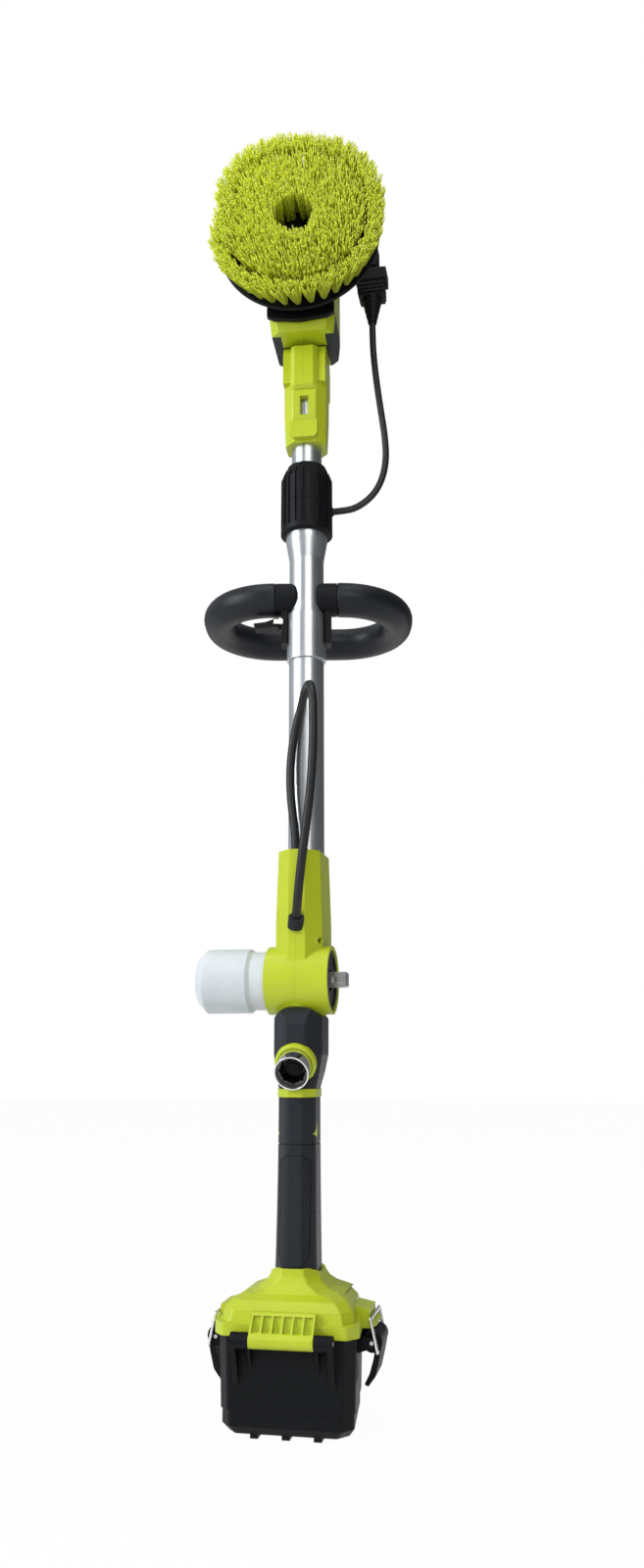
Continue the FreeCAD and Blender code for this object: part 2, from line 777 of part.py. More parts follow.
def hinge_tab():
    """The lime hinge plate: knuckle, front skin and a row of ribs with pockets between."""
    front = HINGE_Y - KNUCKLE_RADIUS
    wall = BOX_FRONT - FLANGE_OVERHANG
    knuckle = rod(KNUCKLE_RADIUS, Vector(-TAB_HALF_WIDTH, HINGE_Y, HINGE_Z),
                  Vector(TAB_HALF_WIDTH, HINGE_Y, HINGE_Z))
    body = prism([
        (front, HINGE_Z), (front, HINGE_Z + TAB_WALL), (wall + EDGE, TAB_TOP), (wall + TAB_ROOT, TAB_TOP),
        (wall + TAB_ROOT, LID_BOTTOM + TAB_WALL), (wall + TAB_ROOT / 2, LID_BOTTOM),
        (HINGE_Y + KNUCKLE_RADIUS, HINGE_Z),
    ], X_AXIS, -TAB_HALF_WIDTH, 2 * TAB_HALF_WIDTH)
    tab = fuse([knuckle, body])
    pitch = (2 * TAB_HALF_WIDTH - TAB_RIB) / (TAB_RIBS - 1)
    for i in range(TAB_RIBS - 1):
        x = -TAB_HALF_WIDTH + TAB_RIB + i * pitch
        pocket = prism([
            (front - OVERRUN, HINGE_Z + KNUCKLE_RADIUS), (wall - TAB_WALL, HINGE_Z + KNUCKLE_RADIUS),
            (wall + EDGE, TAB_TOP - TAB_WALL), (front - OVERRUN, TAB_TOP - TAB_WALL),
        ], X_AXIS, x, pitch - TAB_RIB)
        tab = tab.cut(pocket)
    return tab


def lid_knuckle_room(side):
    inner, outer = TAB_HALF_WIDTH, HINGE_HALF_WIDTH + FIT
    room = rod(KNUCKLE_RADIUS + FIT, Vector(inner, HINGE_Y, HINGE_Z), Vector(outer, HINGE_Y, HINGE_Z))
    return room if side > 0 else mirror_x(room)


def lid_ear(side):
    """A lime ear on the lid's flank with the sloped ledge that the bail's bar bears on."""
    slope = math.tan(math.radians(LEDGE_SLOPE))
    half = EAR_WIDTH / 2
    bar_x, bar_z = BAIL_TOP_X, BAIL_TOP_Z
    gap = (WIRE / 2 + FIT) / math.cos(math.radians(LEDGE_SLOPE))
    seat_z = bar_z - gap
    inner_x = bar_x - WIRE / 2 - FIT
    outer_x = bar_x + WIRE * EAR_LIP_SHARE
    root = box_flank(LATCH_Y + half) - LID_WALL / 3
    points = [
        (root, LID_BOTTOM + EDGE), (bar_x - WIRE, LID_BOTTOM + EDGE),
        (outer_x, seat_z - slope * (outer_x - bar_x) - WIRE / 2),
        (outer_x, seat_z - slope * (outer_x - bar_x)),
        (inner_x, seat_z - slope * (inner_x - bar_x)),
        (inner_x, bar_z + WIRE * 2), (root, bar_z + WIRE * 3),
    ]
    ear = prism(points, Y_AXIS, LATCH_Y - half, EAR_WIDTH)
    return ear if side > 0 else mirror_x(ear)


def make_gasket():
    """A rubber ring in the lid's rim, just clear of the tub's edge."""
    outer = section_loft([
        (box_points(-LID_WALL - TURN_FIT), BOX_RADIUS, LID_BOTTOM),
        (box_points(-LID_WALL - TURN_FIT), BOX_RADIUS, LID_BOTTOM + GASKET_HEIGHT),
    ])
    inner = section_loft([
        (box_points(-LID_WALL - GASKET_WIDTH), BOX_RADIUS, LID_BOTTOM),
        (box_points(-LID_WALL - GASKET_WIDTH), BOX_RADIUS, LID_BOTTOM + GASKET_HEIGHT),
    ])
    return outer.cut(inner)


def make_latch_lever(side):
    """A black lever: a round eye on the pin and a finger plate that hangs down the outside."""
    half = LEVER_WIDTH / 2
    eye = rod(LEVER_EYE, Vector(LEVER_X, LATCH_Y - half, LEVER_Z), Vector(LEVER_X, LATCH_Y + half, LEVER_Z))
    outer = LEVER_X + LEVER_EYE
    waist = LEVER_Z - LEVER_EYE * LEVER_WAIST_SHARE
    plate = prism([
        (outer - LEVER_THICKNESS, LEVER_Z), (outer, LEVER_Z), (outer - LEVER_BEND, waist),
        (outer - LEVER_SWEEP / 2, LEVER_BOTTOM + LEVER_HOOK), (outer - LEVER_SWEEP, LEVER_BOTTOM),
        (outer - LEVER_SWEEP - LEVER_TIP, LEVER_BOTTOM + LEVER_TIP / 2),
        (outer - LEVER_SWEEP / 2 - LEVER_THICKNESS, LEVER_BOTTOM + LEVER_HOOK_INSIDE),
        (outer - LEVER_THICKNESS - LEVER_BEND, waist),
    ], Y_AXIS, LATCH_Y - half, LEVER_WIDTH)
    lever = fuse([eye, plate])
    bore = rod(LATCH_PIN_RADIUS + TURN_FIT, Vector(LEVER_X, LATCH_Y - half - OVERRUN, LEVER_Z),
               Vector(LEVER_X, LATCH_Y + half + OVERRUN, LEVER_Z))
    lever = lever.cut(bore)
    for end in (-1, 1):
        y = LATCH_Y + end * half
        inner, outside = y - end * BAIL_SOCKET, y + end * EDGE
        lever = lever.cut(rod(WIRE / 2 + TURN_FIT, Vector(BAIL_X, inner, BAIL_Z), Vector(BAIL_X, outside, BAIL_Z)))
    return lever if side > 0 else mirror_x(lever)


def make_bail(side):
    """A chrome wire bail: top bar, two legs, and ends turned in to the lever."""
    half = BAIL_WIDTH / 2
    tip = LEVER_WIDTH / 2 - BAIL_TUCK
    points = [
        (BAIL_X, LATCH_Y - tip, BAIL_Z), (BAIL_X, LATCH_Y - half, BAIL_Z),
        (BAIL_TOP_X, LATCH_Y - half, BAIL_TOP_Z), (BAIL_TOP_X, LATCH_Y + half, BAIL_TOP_Z),
        (BAIL_X, LATCH_Y + half, BAIL_Z), (BAIL_X, LATCH_Y + tip, BAIL_Z),
    ]
    corners = [Vector(*p) for p in points]
    pieces = [rod(WIRE / 2, a, b) for a, b in zip(corners, corners[1:])]
    pieces += [Part.makeSphere(WIRE / 2, c) for c in corners[1:-1]]
    bail = fuse(pieces)
    return bail if side > 0 else mirror_x(bail)


def make_latch_pins():
    half = LEVER_WIDTH / 2 + FIT + BRACKET_WIDTH
    pin = rod(LATCH_PIN_RADIUS, Vector(LEVER_X, LATCH_Y - half, LEVER_Z),
              Vector(LEVER_X, LATCH_Y + half, LEVER_Z))
    return Part.makeCompound([pin, mirror_x(pin)])


def make_battery():
    """A pack with a slide-on head, hung under the lid, and its contact block."""
    half, front, back = PACK_HALF, BOX_FRONT + PACK_FRONT_GAP, BOX_BACK - PACK_BACK_GAP
    outline = oval_points(half, front, back, PACK_NOSE_SHARE, PACK_CORNER_SHARE)
    foot = oval_points(half - PACK_BEVEL, front + PACK_BEVEL, back - PACK_BEVEL, PACK_NOSE_SHARE, PACK_CORNER_SHARE)
    low = section_loft([
        (foot, PACK_CORNER, PACK_BOTTOM),
        (outline, PACK_CORNER, PACK_BOTTOM + PACK_BEVEL_RISE),
        (outline, PACK_CORNER, PACK_SHOULDER),
    ])
    head = box(-half * PACK_HEAD_SHARE, half * PACK_HEAD_SHARE, front + PACK_HEAD_FRONT, back - PACK_HEAD_BACK,
               PACK_SHOULDER, PACK_TOP)
    ribs = []
    for i in range(PACK_RIBS):
        y = front + PACK_RIB_START + PACK_RIB_PITCH * i
        rib = box(half - PACK_RIB_ROOT, half + PACK_RIB_PROUD, y, y + PACK_RIB,
                  PACK_BOTTOM + PACK_RIB_RISE, PACK_SHOULDER - PACK_RIB_DROP)
        ribs += [rib, mirror_x(rib)]
    return fuse([low, head] + ribs)


def make_contacts():
    """The terminal block that closes the gap between the lid's ceiling and the pack's head."""
    return box(-CONTACT_HALF, CONTACT_HALF, CONTACT_FRONT, CONTACT_BACK, PACK_TOP + FIT, FLANGE_TOP + CONTACT_RISE)


# Grip

GRIP_HEIGHTS = [GRIP_BOTTOM] + [GRIP_BOTTOM + step for step in GRIP_STEPS] + [GRIP_TOP]


def grip_solid(inset):
    return section_loft([(grip_outline(z, inset), GRIP_CORNER, z) for z in GRIP_HEIGHTS])


def pad_window(shrink):
    """Front panel outline on the grip: straight flanks, bevelled ends."""
    half, low, high = PAD_HALF_WIDTH - shrink, PAD_BOTTOM + shrink, PAD_TOP - shrink
    bevel = half * PAD_BEVEL_SHARE
    brow = bevel * 3 / 2
    return prism([
        (-half + bevel, low), (half - bevel, low), (half, low + bevel * 2), (half, high - bevel),
        (half - brow, high), (-half + brow, high), (-half, high - bevel), (-half, low + bevel * 2),
    ], Y_AXIS, GRIP_Y - GRIP_HEEL_DEPTH, GRIP_HEEL_DEPTH)


def button_profile(grow):
    """Triangular lime button that shows on both flanks of the grip."""
    return [(BUTTON_Y + y + a * grow, BUTTON_Z + z + b * grow) for y, z, a, b in BUTTON_CORNERS]


def make_button():
    half = GRIP_WIDTH / 2 - BUTTON_SUNK
    bar = prism(button_profile(0.0), X_AXIS, -half, 2 * half)
    return bar.common(grip_solid(0.0))


def make_trigger():
    """A finger trigger at the back of the grip; it slides forward into the grip."""
    back = GRIP_Y + GRIP_DEPTH / 2
    half = TRIGGER_WIDTH / 2
    height = TRIGGER_TOP - TRIGGER_BOTTOM
    face = [(back + TRIGGER_PROUD * out, TRIGGER_BOTTOM + height * up) for out, up in TRIGGER_SHARES]
    root = back - TRIGGER_ROOT
    return prism([(root, TRIGGER_BOTTOM)] + face + [(root, TRIGGER_TOP)], X_AXIS, -half, TRIGGER_WIDTH)


def make_grip():
    shell = grip_solid(0.0)
    pad = pad_window(GROOVE / 2).common(grip_solid(0.0)).cut(grip_solid(PAD_THICKNESS))
    groove = pad_window(0.0).common(grip_solid(-OVERRUN / 2)).cut(grip_solid(PAD_THICKNESS))
    core = shell.cut(groove)
    ring = section_loft([
        (grip_outline(RING_GROOVE_Z, -OVERRUN), GRIP_CORNER, RING_GROOVE_Z),
        (grip_outline(RING_GROOVE_Z, -OVERRUN), GRIP_CORNER, RING_GROOVE_Z + GROOVE),
    ]).cut(section_loft([
        (grip_outline(RING_GROOVE_Z, GROOVE), GRIP_CORNER, RING_GROOVE_Z - OVERRUN),
        (grip_outline(RING_GROOVE_Z, GROOVE), GRIP_CORNER, RING_GROOVE_Z + OVERRUN),
    ]))
    core = core.cut(ring)
    half = CAVITY_HALF
    hollow = box(-half, half, GRIP_Y - GRIP_DEPTH / 2 + CAVITY_FRONT_WALL,
                 GRIP_Y + GRIP_DEPTH / 2 - CAVITY_BACK_WALL, GRIP_BOTTOM + CAVITY_FLOOR, TRIGGER_TOP + CAVITY_ROOF)
    core = core.cut(hollow)
    core = core.cut(prism(button_profile(FIT), X_AXIS, -GRIP_WIDTH, 2 * GRIP_WIDTH))
    slot = box(-TRIGGER_WIDTH / 2 - FIT, TRIGGER_WIDTH / 2 + FIT, GRIP_Y, GRIP_Y + GRIP_DEPTH,
               TRIGGER_BOTTOM - FIT, TRIGGER_TOP + FIT)
    core = core.cut(slot)
    return core, pad


def make_switch():
    """The switch block in front of the trigger, with its plunger just clear of the trigger."""
    back = GRIP_Y + GRIP_DEPTH / 2 - TRIGGER_ROOT - TRIGGER_TRAVEL - FIT
    front = GRIP_Y - GRIP_DEPTH / 2 + CAVITY_FRONT_WALL
    return box(-CAVITY_HALF, CAVITY_HALF, front, back, TRIGGER_BOTTOM - SWITCH_DROP, TRIGGER_BOTTOM + SWITCH_RISE)


def make_board():
    half = CAVITY_HALF
    face = GRIP_Y + BOARD_HALF
    board = box(-half, half, GRIP_Y - BOARD_HALF, face, GRIP_BOTTOM + CAVITY_FLOOR, TRIGGER_BOTTOM - SWITCH_DROP)
    caps = [rod(CAP_RADIUS, Vector(x, face, GRIP_BOTTOM + z), Vector(x, face + CAP_HEIGHT, GRIP_BOTTOM + z))
            for x, z in CAP_PLACES]
    return fuse([board] + caps)


def make_grip_band():
    outline = grip_outline(GRIP_TOP, -BAND_PROUD)
    return section_loft([(outline, GRIP_CORNER, GRIP_TOP), (outline, GRIP_CORNER, BAND_TOP)])


# Barrel, cross cylinder and neck

def barrel_points(half, front, back, inset):
    return oval_points(half - inset, front + inset, back - inset, GRIP_NOSE_SHARE, BARREL_CORNER_SHARE)


def barrel_solid(inset):
    half = BARREL_WIDTH / 2
    sections = [(grip_outline(GRIP_TOP, inset), GRIP_CORNER, BAND_TOP)]
    for side, front, back, rise in BARREL_STEPS:
        outline = barrel_points(half - side, BARREL_FRONT + front, BARREL_BACK - back, inset)
        sections.append((outline, GRIP_CORNER, BAND_TOP + rise))
    sections.append((barrel_points(half, BARREL_FRONT, BARREL_BACK, inset), GRIP_CORNER, CROSS_Z))
    return section_loft(sections)


def cross_rod(radius, start=-CROSS_HALF, end=CROSS_HALF):
    return rod(radius, Vector(start, CROSS_Y, CROSS_Z), Vector(end, CROSS_Y, CROSS_Z))


def neck_points(half, inset):
    front, back = NECK_FRONT + inset, NECK_BACK - inset
    half = half - inset
    brow, nape = half * NECK_FRONT_SHARE, half * NECK_BACK_SHARE
    return [
        (-brow, front), (brow, front), (half, front + NECK_FRONT_BEVEL), (half, back - NECK_BACK_BEVEL),
        (nape, back), (-nape, back), (-half, back - NECK_BACK_BEVEL), (-half, front + NECK_FRONT_BEVEL),
    ]


def neck_solid(inset):
    return section_loft([
        (neck_points(NECK_HALF, inset), NECK_CORNER, CROSS_Z),
        (neck_points(NECK_HALF, inset), NECK_CORNER, CROSS_Z + NECK_SHOULDER),
        (neck_points(NECK_TOP_HALF, inset), NECK_CORNER, NECK_TOP - (SHELL_WALL if inset else 0.0)),
    ])


def coupling_frame(distance):
    """A point on the coupling's axis, measured out of the barrel."""
    tilt = math.radians(COUPLING_TILT)
    return Vector(0, COUPLING_Y - distance * math.cos(tilt), COUPLING_Z - distance * math.sin(tilt))


def coupling_rod(radius, start, end):
    return rod(radius, coupling_frame(start), coupling_frame(end))


def screw_places():
    """Case screws in the neck's right shell: (y, z)."""
    return [(y, CROSS_Z + z) for y, z in SCREW_PLACES]


def screw_hole(y, z, radius, head, floor):
    shank = rod(radius, Vector(SCREW_START, y, z), Vector(floor, y, z))
    counterbore = rod(head, Vector(floor, y, z), Vector(floor + SCREW_REACH, y, z))
    return fuse([shank, counterbore])


def screw(y, z, floor):
    shank = rod(SCREW_RADIUS, Vector(SCREW_START, y, z), Vector(floor, y, z))
    head = rod(SCREW_HEAD - FIT, Vector(floor, y, z), Vector(floor + SCREW_HEAD_HEIGHT, y, z))
    return fuse([shank, head])


def barrel_arch(grow):
    """Room under the barrel's arched top edge, with the front rounded back to the cross cylinder."""
    centre_z = ARCH_TOP - ARCH_RADIUS
    reach = ARCH_RADIUS * 4
    arch = fuse([
        box(-reach, reach, -reach, reach, centre_z - reach, centre_z),
        rod(ARCH_RADIUS + grow, Vector(0, -reach, centre_z), Vector(0, reach, centre_z)),
    ])
    front, back = BARREL_FRONT - grow, BARREL_FRONT + BROW_DEPTH - grow
    brow = prism([
        (-reach, ARCH_TOP - BROW_DROP), (front, ARCH_TOP - BROW_DROP),
        (front + BROW_STEP, ARCH_TOP - BROW_MIDDLE), (back, ARCH_TOP + grow), (back, ARCH_TOP + reach),
        (-reach, ARCH_TOP + reach),
    ], X_AXIS, -reach, 2 * reach)
    return arch.cut(brow)


def make_neck_shells():
    outside = fuse([neck_solid(0.0), cross_rod(CROSS_RADIUS)])
    lip = barrel_solid(-LIP).common(cross_rod(CROSS_RADIUS + LIP).cut(cross_rod(CROSS_RADIUS)))
    lip = lip.common(barrel_arch(LIP))
    outside = fuse([outside, lip])
    hollow = neck_solid(SHELL_WALL)
    inside = cross_rod(CROSS_RADIUS - CROSS_WALL, -CROSS_HALF - OVERRUN, CROSS_HALF + OVERRUN)
    shell = outside.cut(hollow).cut(inside)
    web = cross_rod(CROSS_RADIUS - CROSS_WALL + FIT, WEB_START, WEB_END)
    web = web.cut(cross_rod(BOTTLE_ROOT_RADIUS * WEB_HOLE_SHARE, WEB_START - OVERRUN, WEB_END + OVERRUN))
    shell = fuse([shell, web])
    socket = rod(OUTER_RADIUS, Vector(0, 0, OUTER_BOTTOM), Vector(0, 0, NECK_TOP + OVERRUN))
    ring = rod(OUTER_RADIUS + SHELL_WALL, Vector(0, 0, NECK_TOP - NECK_RING), Vector(0, 0, NECK_TOP))
    foot = rod(OUTER_RADIUS + SHELL_WALL, Vector(0, 0, OUTER_BOTTOM - SEAT_DROP),
               Vector(0, 0, OUTER_BOTTOM + SEAT_RISE))
    shell = fuse([shell, ring.common(neck_solid(0.0)), foot.common(neck_solid(0.0))]).cut(socket)
    gland = gland_rod(GLAND_RADIUS, -GLAND_DEPTH - TURN_FIT, GLAND_DEPTH * 2)
    shell = shell.cut(gland)
    tail = Vector(*LOWER_CABLE[-1])
    along = (Vector(*LOWER_CABLE[-2]) - tail).normalize()
    shell = shell.cut(rod(LOOP_CABLE / 2 + TURN_FIT, tail, tail + along * GLAND_RADIUS * 2))
    skirt = CROSS_Z - CROSS_RADIUS - NECK_SKIRT
    shell = shell.cut(box(-WIDE, WIDE, -WIDE, WIDE, skirt - WIDE, skirt))
    return halves(shell)


def gland_rod(radius, start, end):
    """A rod along the cable's first run, measured from the cable's end."""
    foot = Vector(*LOWER_CABLE[0])
    along = (Vector(*LOWER_CABLE[1]) - foot).normalize()
    return rod(radius, foot + along * start, foot + along * end)


def halves(shell):
    """The left and right mouldings of a shell that parts on the middle plane."""
    left = shell.common(box(-WIDE, 0, -WIDE, WIDE, 0, 4 * WIDE))
    right = shell.common(box(0, WIDE, -WIDE, WIDE, 0, 4 * WIDE))
    return left, right


def make_barrel():
    outside = barrel_solid(0.0)
    outside = outside.cut(cross_rod(CROSS_RADIUS + LIP + TURN_FIT, -CROSS_HALF * 2, CROSS_HALF * 2))
    outside = outside.common(barrel_arch(0.0))
    roof = CROSS_Z - BARREL_ROOF_DROP
    inner = barrel_solid(SHELL_WALL).cut(box(-WIDE, WIDE, -WIDE, WIDE, roof, roof + WIDE))
    shell = outside.cut(inner)
    boss = coupling_rod(COUPLING_RING_RADIUS + BOSS_WALL, -COUPLING_DEPTH - SHELL_WALL, COUPLING_LENGTH)
    boss = boss.common(barrel_solid(0.0)).common(barrel_arch(0.0))
    boss = boss.cut(cross_rod(CROSS_RADIUS + LIP + TURN_FIT, -CROSS_HALF * 2, CROSS_HALF * 2))
    shell = fuse([shell, boss])
    shell = shell.cut(coupling_rod(COUPLING_RADIUS + SLIDE_FIT, -COUPLING_DEPTH, COUPLING_LENGTH))
    shell = shell.cut(coupling_rod(COUPLING_RING_RADIUS, 0.0, COUPLING_LENGTH))
    left, right = halves(shell)
    boss = screw_boss(BARREL_SCREW_Y, BARREL_SCREW_Z)
    boss = boss.cut(cross_rod(CROSS_RADIUS + LIP + TURN_FIT, -CROSS_HALF * 2, CROSS_HALF * 2))
    boss = boss.cut(coupling_rod(COUPLING_RING_RADIUS, -COUPLING_DEPTH, COUPLING_LENGTH))
    hole = screw_hole(BARREL_SCREW_Y, BARREL_SCREW_Z, SCREW_RADIUS, SCREW_HEAD, SCREW_FLOOR)
    left = left.fuse(mirror_x(boss)).cut(mirror_x(hole))
    return left, right


def make_coupling_ring():
    """The lime escutcheon round the water coupling: a plain tube with a rounded outer lip."""
    ring = coupling_rod(COUPLING_RING_RADIUS - TURN_FIT, 0.0, RING_DEPTH)
    ring = ring.cut(coupling_rod(COUPLING_RADIUS + SLIDE_FIT, -OVERRUN, COUPLING_LENGTH))
    rim = [e for e in ring.Edges if abs(e.Length - 2 * math.pi * (COUPLING_RING_RADIUS - TURN_FIT)) < NEAR]
    far = max(rim, key=lambda e: -e.CenterOfMass.y)
    return ring.makeFillet(RING_FILLET, [far])


def make_coupling_sleeve():
    start, end = SLEEVE_START, COUPLING_LENGTH
    sleeve = coupling_rod(COUPLING_RADIUS, start, end)
    return sleeve.cut(coupling_rod(COUPLING_RADIUS - COUPLING_WALL, start - OVERRUN, end + OVERRUN))


def make_coupling_body():
    """The fixed steel insert in the sleeve, with the ball-retaining flutes cut in its bore."""
    insert = coupling_rod(COUPLING_RADIUS - COUPLING_WALL - SLIDE_FIT, -COUPLING_DEPTH, COUPLING_LENGTH - INSERT_BACK)
    insert = insert.cut(coupling_rod(COUPLING_INSERT_RADIUS, 0.0, COUPLING_LENGTH))
    insert = insert.cut(coupling_rod(VALVE_FACE_RADIUS + TURN_FIT, -VALVE_TRAVEL - VALVE_SEAT, 0.0))
    flute = coupling_rod(COUPLING_WALL, 0.0, COUPLING_LENGTH)
    tilt = math.radians(COUPLING_TILT)
    out = Vector(0, -math.cos(tilt), -math.sin(tilt))
    up = Vector(0, -math.sin(tilt), math.cos(tilt)) * COUPLING_INSERT_RADIUS
    flute = moved(flute, up)
    for cutter in ring_pattern(flute, COUPLING_FLUTES, coupling_frame(0.0), out):
        insert = insert.cut(cutter)
    return insert


def make_check_valve():
    face = COUPLING_LENGTH / 2
    stem = coupling_rod(VALVE_FACE_RADIUS, -VALVE_SEAT, face)
    return fuse([stem, coupling_rod(VALVE_FACE_RADIUS * 2 / 3, face, face + VALVE_SEAT)])


def make_bottle():
    """A blow-moulded bottle that pushes into the cross cylinder."""
    def skin(inset):
        end = BOTTLE_END + inset
        profile = [
            (0.0, end), (BOTTLE_RADIUS - BOTTLE_BEVEL - inset, end), (BOTTLE_RADIUS - inset, end + BOTTLE_BEVEL),
            (BOTTLE_RADIUS - inset, BOTTLE_SHOULDER - BOTTLE_STEP - inset),
            (BOTTLE_NECK_RADIUS - inset, BOTTLE_SHOULDER + EDGE - inset),
            (BOTTLE_NECK_RADIUS - inset, -CROSS_HALF - FIT - inset),
            (BOTTLE_ROOT_RADIUS - inset, -CROSS_HALF - FIT - inset), (BOTTLE_ROOT_RADIUS - inset, BOTTLE_ROOT),
            (0.0, BOTTLE_ROOT),
        ]
        corners = [Vector(x, CROSS_Y + r, CROSS_Z) for r, x in profile]
        face = Part.Face(Part.makePolygon(corners + corners[:1]))
        return face.revolve(Vector(0, CROSS_Y, CROSS_Z), X_AXIS, 360)
    bottle = skin(0.0).cut(skin(BOTTLE_WALL))
    return fuse([bottle, cross_rod(BOTTLE_ROOT_RADIUS, BOTTLE_ROOT - BOTTLE_PLUG, BOTTLE_ROOT)])


def make_bottle_seat():
    """The seal carrier in the left mouth of the cross cylinder."""
    seat = cross_rod(CROSS_RADIUS - CROSS_WALL, -CROSS_HALF, WEB_START)
    return seat.cut(cross_rod(BOTTLE_ROOT_RADIUS + SLIDE_FIT, -CROSS_HALF - OVERRUN, WEB_START + OVERRUN))


def make_valve_body():
    """Metering valve between the bottle's seat and the disc; its stem bore takes the spindle."""
    body = cross_rod(CROSS_RADIUS - CROSS_WALL, VALVE_BODY_START, DISC_START - FIT)
    nose = cross_rod(BOTTLE_ROOT_RADIUS * WEB_HOLE_SHARE - FIT, VALVE_NOSE_START, VALVE_BODY_START)
    body = fuse([body, nose])
    return body.cut(cross_rod(VALVE_RADIUS + TURN_FIT, STEM_START, DISC_START + OVERRUN))


def make_disc():
    """A round cover with a raised rim; its round hole clears the corners of the square drive."""
    low, high = DISC_START - OVERRUN, DISC_START + DISC_THICKNESS + DISC_RIM + OVERRUN
    disc = cross_rod(DISC_RADIUS, DISC_START, DISC_START + DISC_THICKNESS)
    rim = cross_rod(DISC_RADIUS, DISC_START, DISC_START + DISC_THICKNESS + DISC_RIM)
    rim = rim.cut(cross_rod(DISC_RADIUS - DISC_RIM_WIDTH, low, high))
    return fuse([disc, rim]).cut(cross_rod(SPINDLE_SQUARE * math.sqrt(0.5) + FIT, low, high))


def square_bar(start, end, grow):
    half = SPINDLE_SQUARE / 2 + grow
    return box(start, end, CROSS_Y - half, CROSS_Y + half, CROSS_Z - half, CROSS_Z + half)


def make_metering_spindle():
    """The square drive with its bevelled tip, a recess with a detent hole, and a round stem inside."""
    bar = square_bar(SPINDLE_START, SPINDLE_END, 0.0)
    tip = [e for e in bar.Edges if abs(e.CenterOfMass.x - SPINDLE_END) < NEAR]
    bar = bar.makeChamfer(SPINDLE_CHAMFER, tip)
    stem = cross_rod(VALVE_RADIUS, STEM_START, SPINDLE_START)
    bar = fuse([bar, stem])
    front = CROSS_Y - SPINDLE_SQUARE / 2
    recess = box(RECESS_START, SPINDLE_END - RECESS_MARGIN, front - OVERRUN, front + RECESS_DEPTH,
                 CROSS_Z - RECESS_HALF, CROSS_Z + RECESS_HALF)
    hole = rod(DETENT_RADIUS, Vector(DETENT_X, front - OVERRUN, CROSS_Z),
               Vector(DETENT_X, front + DETENT_DEPTH, CROSS_Z))
    return bar.cut(recess).cut(hole)


def make_body_screws():
    """Case screws of the neck from the right, and the barrel's from the left."""
    screws = [screw(y, z, SCREW_FLOOR) for y, z in screw_places()]
    screws.append(mirror_x(screw(BARREL_SCREW_Y, BARREL_SCREW_Z, SCREW_FLOOR)))
    return Part.makeCompound(screws)


def screw_boss(y, z):
    return rod(SCREW_HEAD + BOSS_WALL, Vector(0.0, y, z), Vector(NECK_TOP_HALF - BOSS_WALL, y, z))


def make_gland_ring():
    """A rubber gland set on a slant in the neck's front; the cable ends against its floor."""
    body = gland_rod(GLAND_RADIUS - TURN_FIT, -GLAND_DEPTH, GLAND_PROUD)
    return body.cut(gland_rod(LOOP_CABLE / 2 + TURN_FIT, 0.0, GLAND_PROUD + OVERRUN))


# Route of the short cable loop in front of the pole, from the gland up and over into the neck's top,
# with heights above the cross cylinder's axis
LOWER_ROUTE = [
    (0.0, -42.5, 47.0), (2.2, -49.0, 56.5), (4.6, -54.0, 72.3),
    (7.7, -57.5, 94.8), (11.6, -60.0, 120.8), (15.4, -61.5, 147.0),
    (17.8, -62.5, 173.7), (18.9, -63.2, 197.4), (19.0, -63.2, 220.0),
    (18.2, -62.4, 240.0), (13.6, -51.0, 254.0), (6.6, -34.5, 254.5),
    (0.2, -23.8, 241.0), (-5.0, -21.2, 223.5), (-8.6, -20.8, 204.0),
    (-10.2, -21.4, 182.3), (-9.4, -22.2, 160.1), (-6.7, -23.6, 139.8),
    (-4.2, -25.2, 121.5), (-4.0, -25.6, 107.4),
]
LOWER_CABLE = [(x, y, CROSS_Z + z) for x, y, z in LOWER_ROUTE]

# Route of the head cable, from the collar's outlet round and up to the plug, above the outer tube
UPPER_ROUTE = [
    (25.0, 2.0, 1.0), (34.0, 2.0, 1.0), (45.8, 3.5, 3.0),
    (57.0, 5.5, 10.6), (66.3, 7.0, 21.2), (72.9, 8.5, 36.7),
    (76.0, 9.5, 56.5), (74.8, 10.5, 80.3), (71.6, 11.2, 105.4),
    (68.4, 11.7, 131.0), (65.8, 12.0, 156.5), (64.0, 12.0, 182.4),
    (64.0, 12.0, 207.0),
]
UPPER_CABLE = [(x, y, OUTER_TOP + z) for x, y, z in UPPER_ROUTE]

# Route of the pigtail behind the brush, from the socket's top into the head, measured from that top
PIGTAIL_ROUTE = [
    (64.0, 12.0, 0.0), (64.0, 12.0, 14.0), (55.0, 16.0, 26.5),
    (38.5, 22.5, 27.0), (26.5, 27.5, 14.5), (22.6, 29.6, -4.0),
    (21.6, 30.0, -24.0), (22.0, 30.0, -43.0), (22.0, 30.0, -61.0),
]
PIGTAIL = [(x, y, SOCKET_TOP + z) for x, y, z in PIGTAIL_ROUTE]


# Pole

def make_outer_tube():
    profile = [
        (OUTER_RADIUS - OUTER_WALL, OUTER_BOTTOM), (OUTER_RADIUS, OUTER_BOTTOM), (OUTER_RADIUS, FLARE_BOTTOM),
        (FLARE_RADIUS, FLARE_TOP), (FLARE_RADIUS, OUTER_TOP), (FLARE_RADIUS - OUTER_WALL, OUTER_TOP),
        (FLARE_RADIUS - OUTER_WALL, FLARE_TOP), (OUTER_RADIUS - OUTER_WALL, FLARE_BOTTOM),
    ]
    return revolve_z(profile)


def make_inner_tube():
    tube = pipe(INNER_RADIUS, INNER_RADIUS - INNER_WALL, Vector(0, 0, INNER_BOTTOM), Vector(0, 0, INNER_TOP))
    groove = box(-KEY_GROOVE, KEY_GROOVE, -INNER_RADIUS - OVERRUN, -INNER_RADIUS + KEY_GROOVE,
                 INNER_BOTTOM - OVERRUN, INNER_TOP + OVERRUN)
    return tube.cut(groove)


